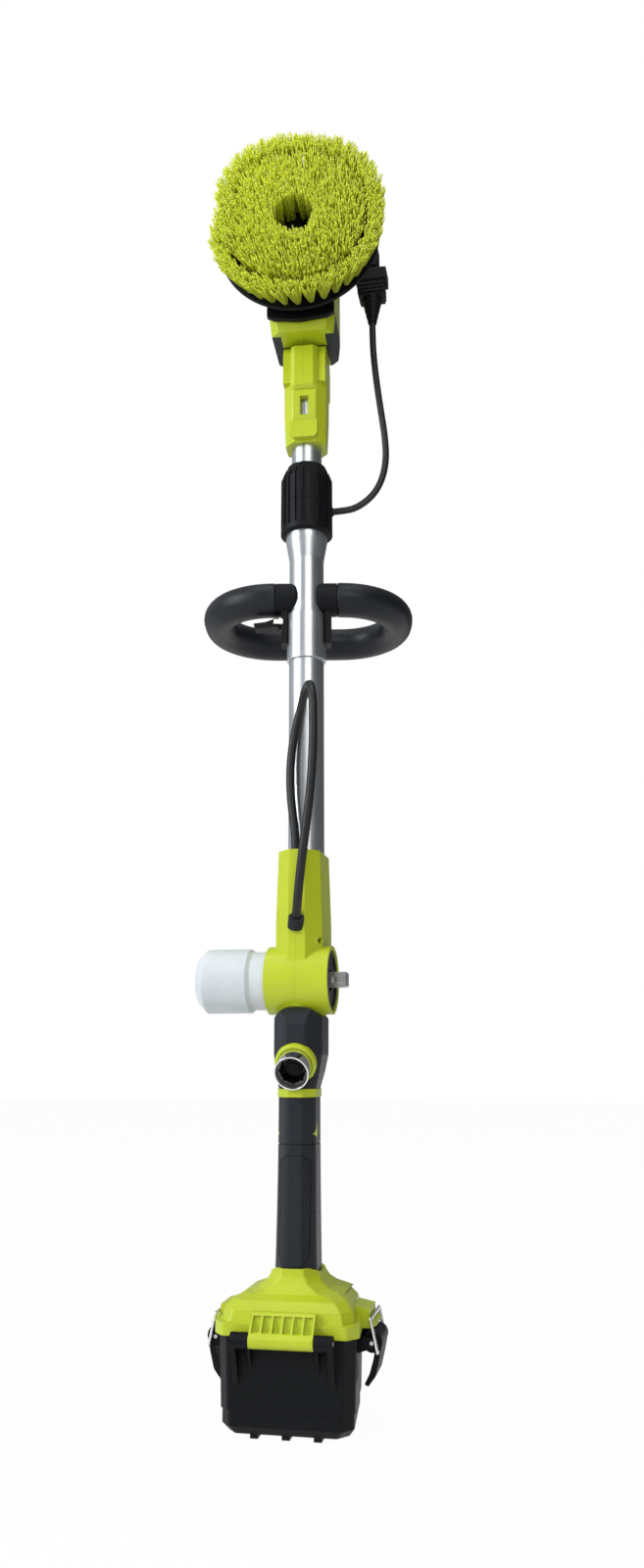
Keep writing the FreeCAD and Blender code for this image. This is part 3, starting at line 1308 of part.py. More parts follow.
def ribbed(body, z0, z1):
    half = COLLAR_RIB * COLLAR_RIB_SHARE
    rib = box(-half, half, COLLAR_RADIUS - COLLAR_RIB, COLLAR_RADIUS + COLLAR_RIB, z0, z1)
    return fuse([body] + ring_pattern(rib, COLLAR_RIBS, ORIGIN, Z_AXIS))


def make_collar_base():
    """Fixed lower collar: ribbed, with a plain skirt and the cable's outlet on its right."""
    bore = FLARE_RADIUS
    body = revolve_z([
        (bore, COLLAR_BOTTOM), (COLLAR_RADIUS + COLLAR_RIB, COLLAR_BOTTOM + EDGE),
        (COLLAR_RADIUS + COLLAR_RIB, COLLAR_BOTTOM + COLLAR_SKIRT),
        (COLLAR_RADIUS, COLLAR_BOTTOM + COLLAR_SKIRT + COLLAR_SKIRT_STEP),
        (COLLAR_RADIUS, COLLAR_SPLIT - FIT), (bore, COLLAR_SPLIT - FIT),
    ])
    body = ribbed(body, COLLAR_BOTTOM + COLLAR_SKIRT, COLLAR_SPLIT - FIT)
    start = Vector(*UPPER_CABLE[0])
    boss = rod(HEAD_CABLE / 2 + OUTLET_WALL, Vector(FLARE_RADIUS + OUTLET_WALL, start.y, start.z), start)
    body = fuse([body, boss])
    return body.cut(rod(bore, Vector(0, 0, COLLAR_BOTTOM - OVERRUN), Vector(0, 0, COLLAR_SPLIT + OVERRUN)))


def make_collar_nut():
    """The twist nut: a bevelled, ribbed cap over the collet."""
    body = revolve_z([
        (COLLET_RADIUS + FIT, COLLAR_SPLIT), (COLLAR_RADIUS, COLLAR_SPLIT), (COLLAR_RADIUS, COLLAR_BEVEL),
        (COLLAR_TOP_RADIUS, COLLAR_TOP), (INNER_RADIUS + FIT, COLLAR_TOP),
        (INNER_RADIUS + FIT, COLLAR_BEVEL + NUT_CEILING), (COLLET_RADIUS + FIT, COLLAR_BEVEL),
    ])
    ribbed_body = ribbed(body, COLLAR_SPLIT, COLLAR_TOP - NUT_RIB_DROP)
    cap = revolve_z([
        (0, COLLAR_SPLIT), (COLLAR_RADIUS + COLLAR_RIB, COLLAR_SPLIT),
        (COLLAR_RADIUS + COLLAR_RIB, COLLAR_BEVEL), (COLLAR_TOP_RADIUS + COLLAR_RIB / 2, COLLAR_TOP), (0, COLLAR_TOP),
    ])
    return ribbed_body.common(cap)


def make_collet():
    """A slit plastic collet that grips the inner tube, seated in the flared end."""
    body = revolve_z([
        (INNER_RADIUS + FIT, FLARE_TOP + COLLET_FOOT), (FLARE_RADIUS - OUTER_WALL, FLARE_TOP + COLLET_FOOT),
        (FLARE_RADIUS - OUTER_WALL, OUTER_TOP), (COLLET_RADIUS, OUTER_TOP + COLLET_STEP),
        (COLLET_RADIUS, COLLAR_BEVEL - COLLET_STEP), (INNER_RADIUS + COLLET_TIP, COLLAR_BEVEL - FIT),
        (INNER_RADIUS + FIT, COLLAR_BEVEL - FIT),
    ])
    slit = box(-SLIT_HALF, SLIT_HALF, 0, FLARE_RADIUS * 2, OUTER_TOP + COLLET_FOOT, COLLAR_TOP)
    for cutter in ring_pattern(slit, COLLET_SLITS, ORIGIN, Z_AXIS):
        body = body.cut(cutter)
    return body


# Second handle

def loop_wire(start_x):
    """Centre line of the handle loop, from one side of the pole round to the other."""
    half, depth, corner, z = LOOP_HALF, LOOP_DEPTH, LOOP_CORNER, LOOP_Z
    diagonal = corner * (1 - math.sqrt(0.5))
    p = [
        Vector(start_x, 0, z), Vector(half - corner, 0, z), Vector(half - diagonal, diagonal, z),
        Vector(half, corner, z), Vector(half, depth - corner, z), Vector(half - diagonal, depth - diagonal, z),
        Vector(half - corner, depth, z),
    ]
    q = [Vector(-v.x, v.y, v.z) for v in p]
    path = p + q[::-1]
    edges = []
    for i in range(0, len(path) - 1, 3):
        edges.append(Part.LineSegment(path[i], path[i + 1]).toShape())
        if i + 3 < len(path) - 1:
            edges.append(Part.Arc(path[i + 1], path[i + 2], path[i + 3]).toShape())
    return Part.Wire(edges)


def loop_pipe(radius, start_x):
    circle = Part.Circle(Vector(start_x, 0, LOOP_Z), X_AXIS, radius)
    return loop_wire(start_x).makePipeShell([Part.Wire(circle.toShape())], True, True)


def turn_loop(shape):
    return turned(shape, ORIGIN, Z_AXIS, LOOP_TURN)


def make_loop_parts():
    core = loop_pipe(CORE_RADIUS, CLAMP_START + EDGE)
    core = core.cut(loop_pipe(CORE_RADIUS - CORE_WALL, CLAMP_START + EDGE))
    foam = loop_pipe(FOAM_RADIUS, FOAM_START).cut(loop_pipe(CORE_RADIUS, FOAM_START))
    bore = OUTER_RADIUS + SLIDE_FIT
    stubs = []
    for side in (1, -1):
        stub = rod(FOAM_RADIUS - FIT, Vector(side * bore * STUB_SHARE, 0, LOOP_Z),
                   Vector(side * FOAM_START, 0, LOOP_Z))
        skirt = box(SLEEVE_RADIUS + TURN_FIT - EDGE, SLEEVE_RADIUS + SKIRT_THICKNESS, -SKIRT_HALF_DEPTH,
                    SKIRT_HALF_DEPTH, SKIRT_BOTTOM, LOOP_Z)
        skirt = skirt if side > 0 else mirror_x(skirt)
        stubs += [stub, skirt]
    saddle = box(-bore - SADDLE_MARGIN, bore + SADDLE_MARGIN, 0.0, bore + SADDLE_DEPTH,
                 LOOP_Z - FOAM_RADIUS + EDGE, LOOP_Z + FOAM_RADIUS - SADDLE_STEP)
    clamp = fuse(stubs + [saddle])
    clamp = clamp.cut(rod(bore, Vector(0, 0, SLEEVE_BOTTOM), Vector(0, 0, LOOP_Z + FOAM_RADIUS * 2)))
    clamp = clamp.cut(rod(SLEEVE_RADIUS + TURN_FIT, Vector(0, 0, SLEEVE_BOTTOM - OVERRUN),
                          Vector(0, 0, SLEEVE_TOP + FIT)))
    clamp = clamp.cut(loop_pipe(CORE_RADIUS, CLAMP_START + EDGE))
    clamp = clamp.cut(cam_room())
    for link in clamp_links(FIT):
        clamp = clamp.cut(link)
    return core, foam, clamp


def cam_axis(reach):
    x = -SLEEVE_RADIUS - SKIRT_THICKNESS - CAM_RADIUS
    return Vector(x, -reach, LEVER_ARM_Z), Vector(x, reach, LEVER_ARM_Z)


def cam_room():
    start, end = cam_axis(SKIRT_HALF_DEPTH + OVERRUN)
    return rod(CAM_RADIUS + FIT, start, end)


def make_clamp_lever():
    """A thumb lever: a round cam on a cross pin and an arm that sticks out to the left."""
    start, end = cam_axis(SKIRT_HALF_DEPTH - LINK)
    x = start.x
    cam = rod(CAM_RADIUS, start, end)
    outline = [
        (edge + along, LEVER_ARM_Z + up)
        for edge, corners in ((x, THUMB_ROOT), (LEVER_ARM_END, THUMB_TIP), (x, THUMB_TOP))
        for along, up in corners
    ]
    arm = prism(outline, Y_AXIS, start.y, end.y - start.y)
    lever = fuse([cam, arm])
    past = Y_AXIS * OVERRUN
    return lever.cut(rod(CAM_PIN_RADIUS + TURN_FIT, start - past, end + past))


def clamp_links(grow):
    """Side links that tie the cam pin to the clamp, one each side of the lever."""
    x = cam_axis(0.0)[0].x
    links = []
    for sign in (-1, 1):
        inner = sign * (SKIRT_HALF_DEPTH - LINK + FIT)
        outer = sign * (SKIRT_HALF_DEPTH + LINK / 2)
        low, high = min(inner, outer), max(inner, outer)
        edge = CAM_PIN_RADIUS + LINK / 2 + grow
        links.append(box(x - edge, x + CAM_RADIUS + LINK, low - grow, high + grow,
                         LEVER_ARM_Z - edge, LEVER_ARM_Z + edge))
    return links


def make_clamp_pin():
    """Cam pin with its two side links."""
    start, end = cam_axis(SKIRT_HALF_DEPTH + LINK / 2)
    return fuse([rod(CAM_PIN_RADIUS, start, end)] + clamp_links(0.0))


def make_sleeve():
    return pipe(SLEEVE_RADIUS, OUTER_RADIUS + SLIDE_FIT, Vector(0, 0, SLEEVE_BOTTOM), Vector(0, 0, SLEEVE_TOP))


# Yoke

def yoke_points(half, depth):
    cut = half * YOKE_CUT_SHARE
    return [
        (-half + cut, -depth), (half - cut, -depth), (half, -depth + cut), (half, depth - cut),
        (half - cut, depth), (-half + cut, depth), (-half, depth - cut), (-half, -depth + cut),
    ]


def make_yoke():
    """Two mouldings that close on the inner tube and carry the head between two arms."""
    half = YOKE_HALF
    socket = section_loft([
        (yoke_points(half - wide, half - deep), corner, YOKE_BOTTOM + rise)
        for wide, deep, corner, rise in YOKE_STEPS
    ] + [(yoke_points(half, half), YOKE_CORNER, YOKE_SOCKET_TOP)])
    low = oval_points(SPINE_HALF, -half - EDGE, 0.0, SPINE_NOSE_SHARE, SPINE_CORNER_SHARE)
    full = oval_points(SPINE_HALF, -half - SPINE_PROUD, 0.0, SPINE_NOSE_SHARE, SPINE_CORNER_SHARE)
    spine = section_loft([
        (low, SPINE_CORNER, SPINE_BOTTOM),
        (full, SPINE_CORNER, SPINE_BOTTOM + SPINE_STEP),
        (full, SPINE_CORNER, SPINE_TOP),
    ])
    lip = LEDGE_BOTTOM + LEDGE_BEVEL_RISE
    ledge = prism([
        (-SPINE_HALF, LEDGE_TOP), (SPINE_HALF, LEDGE_TOP), (SPINE_HALF, lip),
        (SPINE_HALF - LEDGE_BEVEL, LEDGE_BOTTOM), (-SPINE_HALF + LEDGE_BEVEL, LEDGE_BOTTOM),
        (-SPINE_HALF, lip),
    ], Y_AXIS, -half - LEDGE_PROUD, LEDGE_DEPTH)
    arms = []
    for side in (1, -1):
        disc = rod(ARM_RADIUS, Vector(ARM_INNER, TILT_Y, TILT_Z), Vector(half, TILT_Y, TILT_Z))
        web = box(ARM_INNER, half, TILT_Y - ARM_RADIUS, TILT_Y + ARM_RADIUS, YOKE_SOCKET_TOP - EDGE, TILT_Z)
        arm = fuse([disc, web])
        arms.append(arm if side > 0 else mirror_x(arm))
    yoke = fuse([socket, spine, ledge] + arms)
    bore = rod(INNER_RADIUS, Vector(0, 0, YOKE_BOTTOM - OVERRUN), Vector(0, 0, INNER_TOP))
    chamber = rod(INNER_RADIUS - CHAMBER_STEP, Vector(0, 0, INNER_TOP - EDGE),
                  Vector(0, 0, YOKE_SOCKET_TOP + CHAMBER_RISE))
    window = box(-WINDOW_HALF, WINDOW_HALF, -half * 2, 0, WINDOW_BOTTOM, WINDOW_TOP)
    pin = rod(TILT_PIN_RADIUS, Vector(-half * 2, TILT_Y, TILT_Z), Vector(half * 2, TILT_Y, TILT_Z))
    room = rod(LUG_RADIUS + LUG_ROOM, Vector(-ARM_INNER, TILT_Y, TILT_Z), Vector(ARM_INNER, TILT_Y, TILT_Z))
    yoke = yoke.cut(bore).cut(chamber).cut(window).cut(pin).cut(room)
    return halves(yoke)


def make_tilt_pin():
    half = YOKE_HALF + TURN_FIT * 4
    return rod(TILT_PIN_RADIUS, Vector(-half, TILT_Y, TILT_Z), Vector(half, TILT_Y, TILT_Z))


# Scrub head: distances are taken from the centre of the plate's front face

PLATE = Vector(0, PLATE_Y, PLATE_Z)


PIN_BACK, PIN_DROP = TILT_Y - PLATE_Y, TILT_Z - PLATE_Z


def head_rod(radius, start, end, x=0.0, drop=0.0):
    """A rod along the brush's axis, from start to end behind the plate's face."""
    return rod(radius, PLATE + Vector(x, start, drop), PLATE + Vector(x, end, drop))


def make_back_plate():
    """The brush's plate: a dished disc with a raised rim behind it and a hub for the spindle."""
    profile = [
        (SPINDLE_RADIUS, 0.0), (PLATE_RADIUS - PLATE_EDGE, 0.0), (PLATE_RADIUS, PLATE_EDGE), (PLATE_RADIUS, PLATE_LIP),
        (PLATE_RADIUS - PLATE_TAPER, PLATE_RIM), (PLATE_RADIUS - PLATE_TAPER - PLATE_LIP, PLATE_RIM),
        (PLATE_RADIUS - PLATE_TAPER - PLATE_LIP - PLATE_SLOPE, PLATE_THICKNESS),
        (HUB_ROOT_RADIUS, PLATE_THICKNESS), (HUB_RADIUS, HUB_BACK), (SPINDLE_RADIUS, HUB_BACK),
    ]
    corners = [PLATE + Vector(r, back, 0) for r, back in profile]
    face = Part.Face(Part.makePolygon(corners + corners[:1]))
    return face.revolve(PLATE, Y_AXIS, 360)


def make_bristles():
    """The inner field of filaments as one ring with a slightly domed face and a centre hole."""
    profile = [
        (BRISTLE_HOLE, 0.0), (BRISTLE_HOLE + HOLE_DRAFT, BRISTLE_DOME - BRISTLE_LENGTH),
        (BRISTLE_HOLE + HOLE_BEVEL, -BRISTLE_LENGTH), (BRISTLE_FIELD - FIELD_SPREAD, -BRISTLE_LENGTH),
        (BRISTLE_FIELD + FIELD_SPREAD, FIELD_DOME - BRISTLE_LENGTH),
        (BRISTLE_FIELD, 0.0),
    ]
    corners = [PLATE + Vector(r, out, 0) for r, out in profile]
    face = Part.Face(Part.makePolygon(corners + corners[:1]))
    return face.revolve(PLATE, Y_AXIS, 360)


def tuft_section(radius, centre, other):
    """A many-sided outline round centre, square to the line towards the tuft's other end."""
    along = (other - centre).normalize()
    across = along.cross(Z_AXIS).normalize()
    if across.y < 0:
        across = across * -1
    corners = []
    for i in range(TUFT_SIDES):
        angle = 2 * math.pi * i / TUFT_SIDES
        corners.append(centre + across * radius * math.cos(angle) + Z_AXIS * radius * math.sin(angle))
    return Part.makePolygon(corners + corners[:1])


def make_tuft_ring():
    """The outer ring of tufts: each starts as a small bundle at the plate and flares outward."""
    root_radius = PLATE_RADIUS - TUFT_ROOT - TUFT_MARGIN
    out = BRISTLE_LENGTH - BRISTLE_DOME
    flare = math.radians(TUFT_FLARE)
    start = PLATE + Vector(root_radius, 0, 0)
    end = start + Vector(math.sin(flare), -math.cos(flare), 0) * out
    tuft = Part.makeLoft([tuft_section(TUFT_ROOT, start, end), tuft_section(TUFT_TIP, end, start)], True, True)
    below = box(-WIDE, WIDE, PLATE_Y, 0.0, PLATE_Z - WIDE, PLATE_Z + WIDE)
    tufts = [t.cut(below) for t in ring_pattern(tuft, TUFTS, PLATE, Y_AXIS)]
    return fuse(tufts)


def gear(teeth, width, start, bore):
    """A spur wheel with straight-flanked teeth, drawn about the brush's axis behind the plate."""
    pitch = GEAR_MODULE * teeth / 2
    tip_radius = pitch + GEAR_MODULE * ADDENDUM_SHARE
    root_radius = pitch - GEAR_MODULE * DEDENDUM_SHARE
    step = 2 * math.pi / teeth
    slack = step * TOOTH_BACKLASH_SHARE
    corners = []
    for i in range(teeth):
        middle = i * step
        for radius, offset in (
            (root_radius, slack / 2 - step * ROOT_SHARE), (tip_radius, slack / 4 - step * TIP_SHARE),
            (tip_radius, step * TIP_SHARE - slack / 4), (root_radius, step * ROOT_SHARE - slack / 2),
        ):
            angle = middle + offset
            corners.append(PLATE + Vector(radius * math.cos(angle), start, radius * math.sin(angle)))
    wheel = Part.Face(Part.makePolygon(corners + corners[:1])).extrude(Vector(0, width, 0))
    if bore:
        wheel = wheel.cut(head_rod(bore, start - OVERRUN, start + width + OVERRUN))
    return wheel


GEAR_START = 20.0
GEAR_CENTRES = GEAR_MODULE * (PINION_TEETH + WHEEL_TEETH) / 2


def make_spindle():
    """Output shaft with its bearing seat, screwed into the plate's hub."""
    shaft = head_rod(SPINDLE_RADIUS, 0.0, GEAR_START + GEAR_WIDTH + SPINDLE_TAIL)
    return shaft


def make_wheel():
    return gear(WHEEL_TEETH, GEAR_WIDTH, GEAR_START, SPINDLE_RADIUS)


def make_pinion():
    wheel = gear(PINION_TEETH, GEAR_WIDTH + 2 * PINION_PROUD, GEAR_START - PINION_PROUD, 0.0)
    pinion = turned(wheel, PLATE, Y_AXIS, 180.0 / PINION_TEETH)
    stem = head_rod(STEM_RADIUS, GEAR_START + GEAR_WIDTH, GEAR_START + GEAR_WIDTH + STEM_LENGTH)
    return moved(fuse([pinion, stem]), Vector(0, 0, -GEAR_CENTRES))


def make_bearing():
    start = GEAR_START - BEARING_GAP - BEARING_WIDTH
    race = head_rod(BEARING_RADIUS, start, GEAR_START - BEARING_GAP)
    return race.cut(head_rod(SPINDLE_RADIUS + TURN_FIT, start - OVERRUN, GEAR_START + OVERRUN))


def head_points(half, front, back, corner):
    return [
        (-half + corner, PLATE_Y + front), (half - corner, PLATE_Y + front),
        (half, PLATE_Y + front + corner), (half, PLATE_Y + back - corner),
        (half - corner, PLATE_Y + back), (-half + corner, PLATE_Y + back),
        (-half, PLATE_Y + back - corner), (-half, PLATE_Y + front + corner),
    ]


def head_case(inset):
    """The head's limb: round shoulders over the gears, straight flanks down to the tilt pin."""
    half, front, back = HEAD_HALF - inset, NOSE_DEPTH + inset, HEAD_BACK - inset
    top, bottom = PLATE_Z + HEAD_TOP - inset, PLATE_Z - NOSE_DROP - SHELL_SKIRT + inset
    foot_side, foot_front, foot_rise = HEAD_FOOT
    crown_side, crown_back = HEAD_CROWN
    full = head_points(half, front, back, HEAD_BEVEL)
    return section_loft([
        (head_points(half - foot_side, front + foot_front, back, HEAD_BEVEL), HEAD_CORNER, bottom),
        (full, HEAD_CORNER, bottom + foot_rise),
        (full, HEAD_CORNER, PLATE_Z),
        (head_points(half - crown_side, front, back - crown_back, HEAD_BEVEL), HEAD_CORNER, top),
    ])


def arm_room():
    """Room in the head's underside round the yoke's arms."""
    pin_y, pin_z = PLATE_Y + PIN_BACK, PLATE_Z + PIN_DROP
    return rod(ARM_RADIUS + EDGE, Vector(-CHEEK_INNER, pin_y, pin_z), Vector(CHEEK_INNER, pin_y, pin_z))


def insert_rooms():
    """The two lower flanks of the head that the dark inserts take up."""
    low = PLATE_Z - NOSE_DROP - SHELL_SKIRT - OVERRUN
    room = box(CHEEK_INNER, HEAD_HALF * 2, INSERT_FRONT, PLATE_Y + HEAD_BACK + OVERRUN, low, INSERT_TOP)
    return [room, mirror_x(room)]


def make_head_shells():
    case = head_case(0.0)
    hollow = head_case(HEAD_WALL)
    shell = case.cut(hollow)
    pin_y, pin_z = PLATE_Y + PIN_BACK, PLATE_Z + PIN_DROP
    for cutter in [arm_room()] + insert_rooms():
        shell = shell.cut(cutter)
    tongue = rod(LUG_RADIUS, Vector(-TONGUE_HALF, pin_y, pin_z), Vector(TONGUE_HALF, pin_y, pin_z))
    top = PLATE_Z - NOSE_DROP - SHELL_SKIRT + HEAD_WALL + ARM_RADIUS / 2
    limb = box(-TONGUE_HALF, TONGUE_HALF, pin_y - LUG_RADIUS, pin_y + LUG_RADIUS - LIMB_STEP, pin_z, top)
    limb = fuse([limb, box(-TONGUE_HALF, TONGUE_HALF, PLATE_Y + NOSE_DEPTH + HEAD_WALL,
                           PLATE_Y + HEAD_BACK - HEAD_WALL, top - HEAD_WALL * 2, top)])
    shell = fuse([shell, tongue, limb])
    bore = rod(TILT_PIN_RADIUS + TURN_FIT, Vector(-WIDE, pin_y, pin_z), Vector(WIDE, pin_y, pin_z))
    wheel_hole = head_rod(GEAR_HOLE, NOSE_DEPTH - OVERRUN, NOSE_DEPTH + HEAD_WALL + OVERRUN)
    motor_hole = head_rod(MOTOR_RADIUS, NOSE_DEPTH - OVERRUN, NOSE_DEPTH + HEAD_WALL + OVERRUN,
                          drop=-GEAR_CENTRES)
    shell = shell.cut(bore).cut(wheel_hole).cut(motor_hole)
    foot = Vector(*PIGTAIL[-1])
    outer = HEAD_CABLE / 2 + INLET_WALL
    inlet = rod(outer, foot - Vector(0, 0, INLET_LENGTH), foot)
    web = box(foot.x - INLET_WALL, foot.x + INLET_WALL, PLATE_Y + HEAD_BACK - HEAD_WALL, foot.y,
              foot.z - INLET_LENGTH, foot.z - INLET_WALL)
    left, right = halves(shell)
    return left, fuse([right, inlet, web])


def make_head_nose():
    """The black gear case between the plate and the lime shells, with its skirt over them."""
    front = PLATE_RIM + NOSE_GAP
    top, bottom = PLATE_Z + HEAD_TOP - NOSE_GAP, PLATE_Z - NOSE_DROP
    half = HEAD_HALF + NOSE_PROUD
    brow, brow_drop = NOSE_BROW
    chin, chin_rise = NOSE_CHIN
    points = [
        (-half + brow, top), (half - brow, top), (half, top - brow_drop), (half, bottom + chin_rise),
        (half - chin, bottom), (0.0, bottom - chin_rise), (-half + chin, bottom),
        (-half, bottom + chin_rise), (-half, top - brow_drop),
    ]
    case = prism(points, Y_AXIS, PLATE_Y + front, NOSE_DEPTH - front)
    return case.cut(head_rod(NOSE_BORE, front - OVERRUN, NOSE_DEPTH + OVERRUN))


def make_cheeks():
    """Dark-grey inserts that close the head's lower flanks beside the yoke's arms."""
    shell = head_case(0.0).cut(head_case(HEAD_WALL))
    return Part.makeCompound([shell.common(room) for room in insert_rooms()])


def make_motor():
    start = GEAR_START + GEAR_WIDTH + MOTOR_GAP
    can = head_rod(MOTOR_CAN_RADIUS, start, HEAD_BACK - HEAD_WALL - FIT, drop=-GEAR_CENTRES)
    boss = head_rod(MOTOR_BOSS_RADIUS, start - MOTOR_BOSS, start, drop=-GEAR_CENTRES)
    bore = head_rod(STEM_RADIUS + TURN_FIT, start - OVERRUN, start + STEM_LENGTH, drop=-GEAR_CENTRES)
    return fuse([can, boss]).cut(bore)


# Plug and socket of the head cable

def plug_block(z0, z1, half, depth):
    return box(PLUG_X - half, PLUG_X + half, PLUG_Y - depth, PLUG_Y + depth, z0, z1)


def make_plug():
    """The cable's plug: a ribbed body, a wide step and a narrower brow."""
    half, depth = PLUG_WIDTH / 2, PLUG_DEPTH / 2
    step_z, brow_z = PLUG_TOP - PLUG_STEP, PLUG_TOP - PLUG_BROW
    body = plug_block(PLUG_BOTTOM, step_z, half - PLUG_INSET, depth - EDGE)
    step = plug_block(step_z, brow_z, half, depth)
    brow = plug_block(brow_z, PLUG_TOP, half - PLUG_INSET, depth - PLUG_BROW)
    ribs = []
    for i in range(PLUG_RIBS):
        z = PLUG_BOTTOM + PLUG_INSET + PLUG_RIB_PITCH * i
        ribs.append(plug_block(z, z + PLUG_RIB, half - PLUG_RIB_INSET, depth - PLUG_RIB_DEPTH))
    return fuse([body, step, brow] + ribs)


def make_relief():
    """A stepped, tapering strain relief under the plug."""
    pieces = []
    height = (PLUG_BOTTOM - RELIEF_BOTTOM) / RELIEF_STEPS
    for i in range(RELIEF_STEPS):
        low = RELIEF_BOTTOM + i * height
        radius = HEAD_CABLE / 2 + RELIEF_WALL + RELIEF_GROWTH * i
        pieces.append(cone(radius, radius + EDGE, Vector(PLUG_X, PLUG_Y, low), Vector(PLUG_X, PLUG_Y, low + height)))
    return fuse(pieces)


def socket_section(half, z):
    deep = SOCKET_DEPTH_HALF
    corners = ((-half, -deep), (half, -deep), (half, deep), (-half, deep))
    return [(PLUG_X + x, PLUG_Y + y) for x, y in corners], SOCKET_CORNER, z


def make_socket():
    """The mating half: a narrow neck and a flattened, tapering body."""
    low = PLUG_TOP + SOCKET_NECK - EDGE
    neck = rod(SOCKET_NECK_RADIUS, Vector(PLUG_X, PLUG_Y, PLUG_TOP), Vector(PLUG_X, PLUG_Y, PLUG_TOP + SOCKET_NECK))
    body = section_loft([
        socket_section(SOCKET_FOOT_HALF, low), socket_section(SOCKET_HALF, low + SOCKET_FOOT_RISE),
        socket_section(SOCKET_HALF, SOCKET_TOP - SOCKET_TIP_DROP), socket_section(SOCKET_TIP_HALF, SOCKET_TOP),
    ])
    return fuse([neck, body])


def build():
    save("box_tub", make_tub())
    save("box_lid", fuse([make_lid(), make_contacts()]))
    save("box_gasket", make_gasket())
    reach = HINGE_HALF_WIDTH + HINGE_PIN_PROUD
    hinge_pin = rod(HINGE_PIN_RADIUS, Vector(-reach, HINGE_Y, HINGE_Z), Vector(reach, HINGE_Y, HINGE_Z))
    save("box_pins", Part.makeCompound([hinge_pin] + make_latch_pins().Solids))
    for side, name in ((1, "right"), (-1, "left")):
        save("latch_lever_" + name, make_latch_lever(side))
        save("latch_bail_" + name, make_bail(side))
    save("battery_pack", make_battery())
    core, pad = make_grip()
    save("grip_core", core)
    save("grip_pad", pad)
    save("grip_band", make_grip_band())
    save("trigger", make_trigger())
    save("control_board", fuse([make_board(), make_switch()]))
    save("lock_button", make_button())
    left, right = make_barrel()
    save("barrel_left", left)
    save("barrel_right", right)
    save("coupling_ring", make_coupling_ring())
    save("coupling_sleeve", make_coupling_sleeve())
    save("coupling_body", make_coupling_body())
    save("check_valve", make_check_valve())
    left, right = make_neck_shells()
    for y, z in screw_places():
        right = right.fuse(screw_boss(y, z)).cut(screw_hole(y, z, SCREW_RADIUS, SCREW_HEAD, SCREW_FLOOR))
    save("neck_left", left)
    save("neck_right", right)
    save("body_screws", make_body_screws())
    save("gland_ring", make_gland_ring())
    save("lower_cable", cord_tube("lower_cable", LOWER_CABLE, LOOP_CABLE))
    save("detergent_bottle", make_bottle())
    save("metering_valve", fuse([make_bottle_seat(), make_valve_body()]))
    save("metering_disc", make_disc())
    save("metering_spindle", make_metering_spindle())
    save("outer_tube", make_outer_tube())
    save("inner_tube", make_inner_tube())
    save("collar_base", make_collar_base())
    save("collar_nut", make_collar_nut())
    save("lock_collet", make_collet())
    core, foam, clamp = make_loop_parts()
    save("handle_core", turn_loop(core))
    save("handle_foam", turn_loop(foam))
    save("clamp_body", turn_loop(clamp))
    save("clamp_lever", turn_loop(make_clamp_lever()))
    save("clamp_pin", turn_loop(make_clamp_pin()))
    save("clamp_sleeve", make_sleeve())
    left, right = make_yoke()
    save("yoke_left", turn_head(left))
    save("yoke_right", turn_head(right))
    save("tilt_pin", turn_head(make_tilt_pin()))
    left, right = make_head_shells()
    save("head_shell_left", turn_head(left))
    save("head_shell_right", turn_head(right))
    save("head_nose", turn_head(make_head_nose()))
    save("head_cheeks", turn_head(make_cheeks()))
    save("head_motor", turn_head(make_motor()))
    save("motor_pinion", turn_head(make_pinion()))
    save("spindle_gear", turn_head(make_wheel()))
    save("spindle_bearing", turn_head(make_bearing()))
    save("brush_spindle", turn_head(make_spindle()))
    save("brush_plate", turn_head(make_back_plate()))
    save("brush_bristles", turn_head(make_bristles()))
    save("brush_tufts", turn_head(make_tuft_ring()))
    save("cable_plug", fuse([make_plug(), make_relief()]))
    save("cable_socket", make_socket())
    save("head_cable", cord_tube("head_cable", UPPER_CABLE, HEAD_CABLE))
    save("pigtail", cord_tube("pigtail", PIGTAIL, HEAD_CABLE))


build()
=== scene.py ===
import json
import math
import random

import bmesh
import bpy
from mathutils import Matrix, Vector


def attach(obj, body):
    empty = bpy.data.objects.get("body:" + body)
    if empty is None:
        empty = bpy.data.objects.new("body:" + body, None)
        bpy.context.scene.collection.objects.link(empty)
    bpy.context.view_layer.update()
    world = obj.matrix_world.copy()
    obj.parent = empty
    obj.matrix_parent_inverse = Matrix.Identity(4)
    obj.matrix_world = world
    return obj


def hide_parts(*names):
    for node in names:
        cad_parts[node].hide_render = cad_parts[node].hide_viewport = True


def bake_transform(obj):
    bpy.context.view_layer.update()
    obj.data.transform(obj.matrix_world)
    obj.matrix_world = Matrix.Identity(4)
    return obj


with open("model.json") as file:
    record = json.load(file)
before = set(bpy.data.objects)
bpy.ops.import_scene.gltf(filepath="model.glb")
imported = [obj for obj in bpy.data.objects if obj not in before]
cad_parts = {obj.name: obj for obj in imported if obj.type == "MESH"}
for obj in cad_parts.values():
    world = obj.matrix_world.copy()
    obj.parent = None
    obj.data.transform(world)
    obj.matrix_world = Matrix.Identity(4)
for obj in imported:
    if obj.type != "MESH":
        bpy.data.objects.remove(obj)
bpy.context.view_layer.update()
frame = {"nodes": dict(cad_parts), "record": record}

NODES = frame["nodes"]
RECORD = frame["record"]
MM = 0.001
FULL_TURN = 2 * math.pi
UP = Vector((0, 0, 1))


def add_object(name, data):
    made = bpy.data.objects.new(name, data)
    bpy.context.scene.collection.objects.link(made)
    return made


def smooth_faces(data):
    for face in data.polygons:
        face.use_smooth = True


def mesh_object(mesh, name):
    data = bpy.data.meshes.new(name)
    mesh.to_mesh(data)
    mesh.free()
    return add_object(name, data)


# Camera, solved from the photograph; its place is in metres

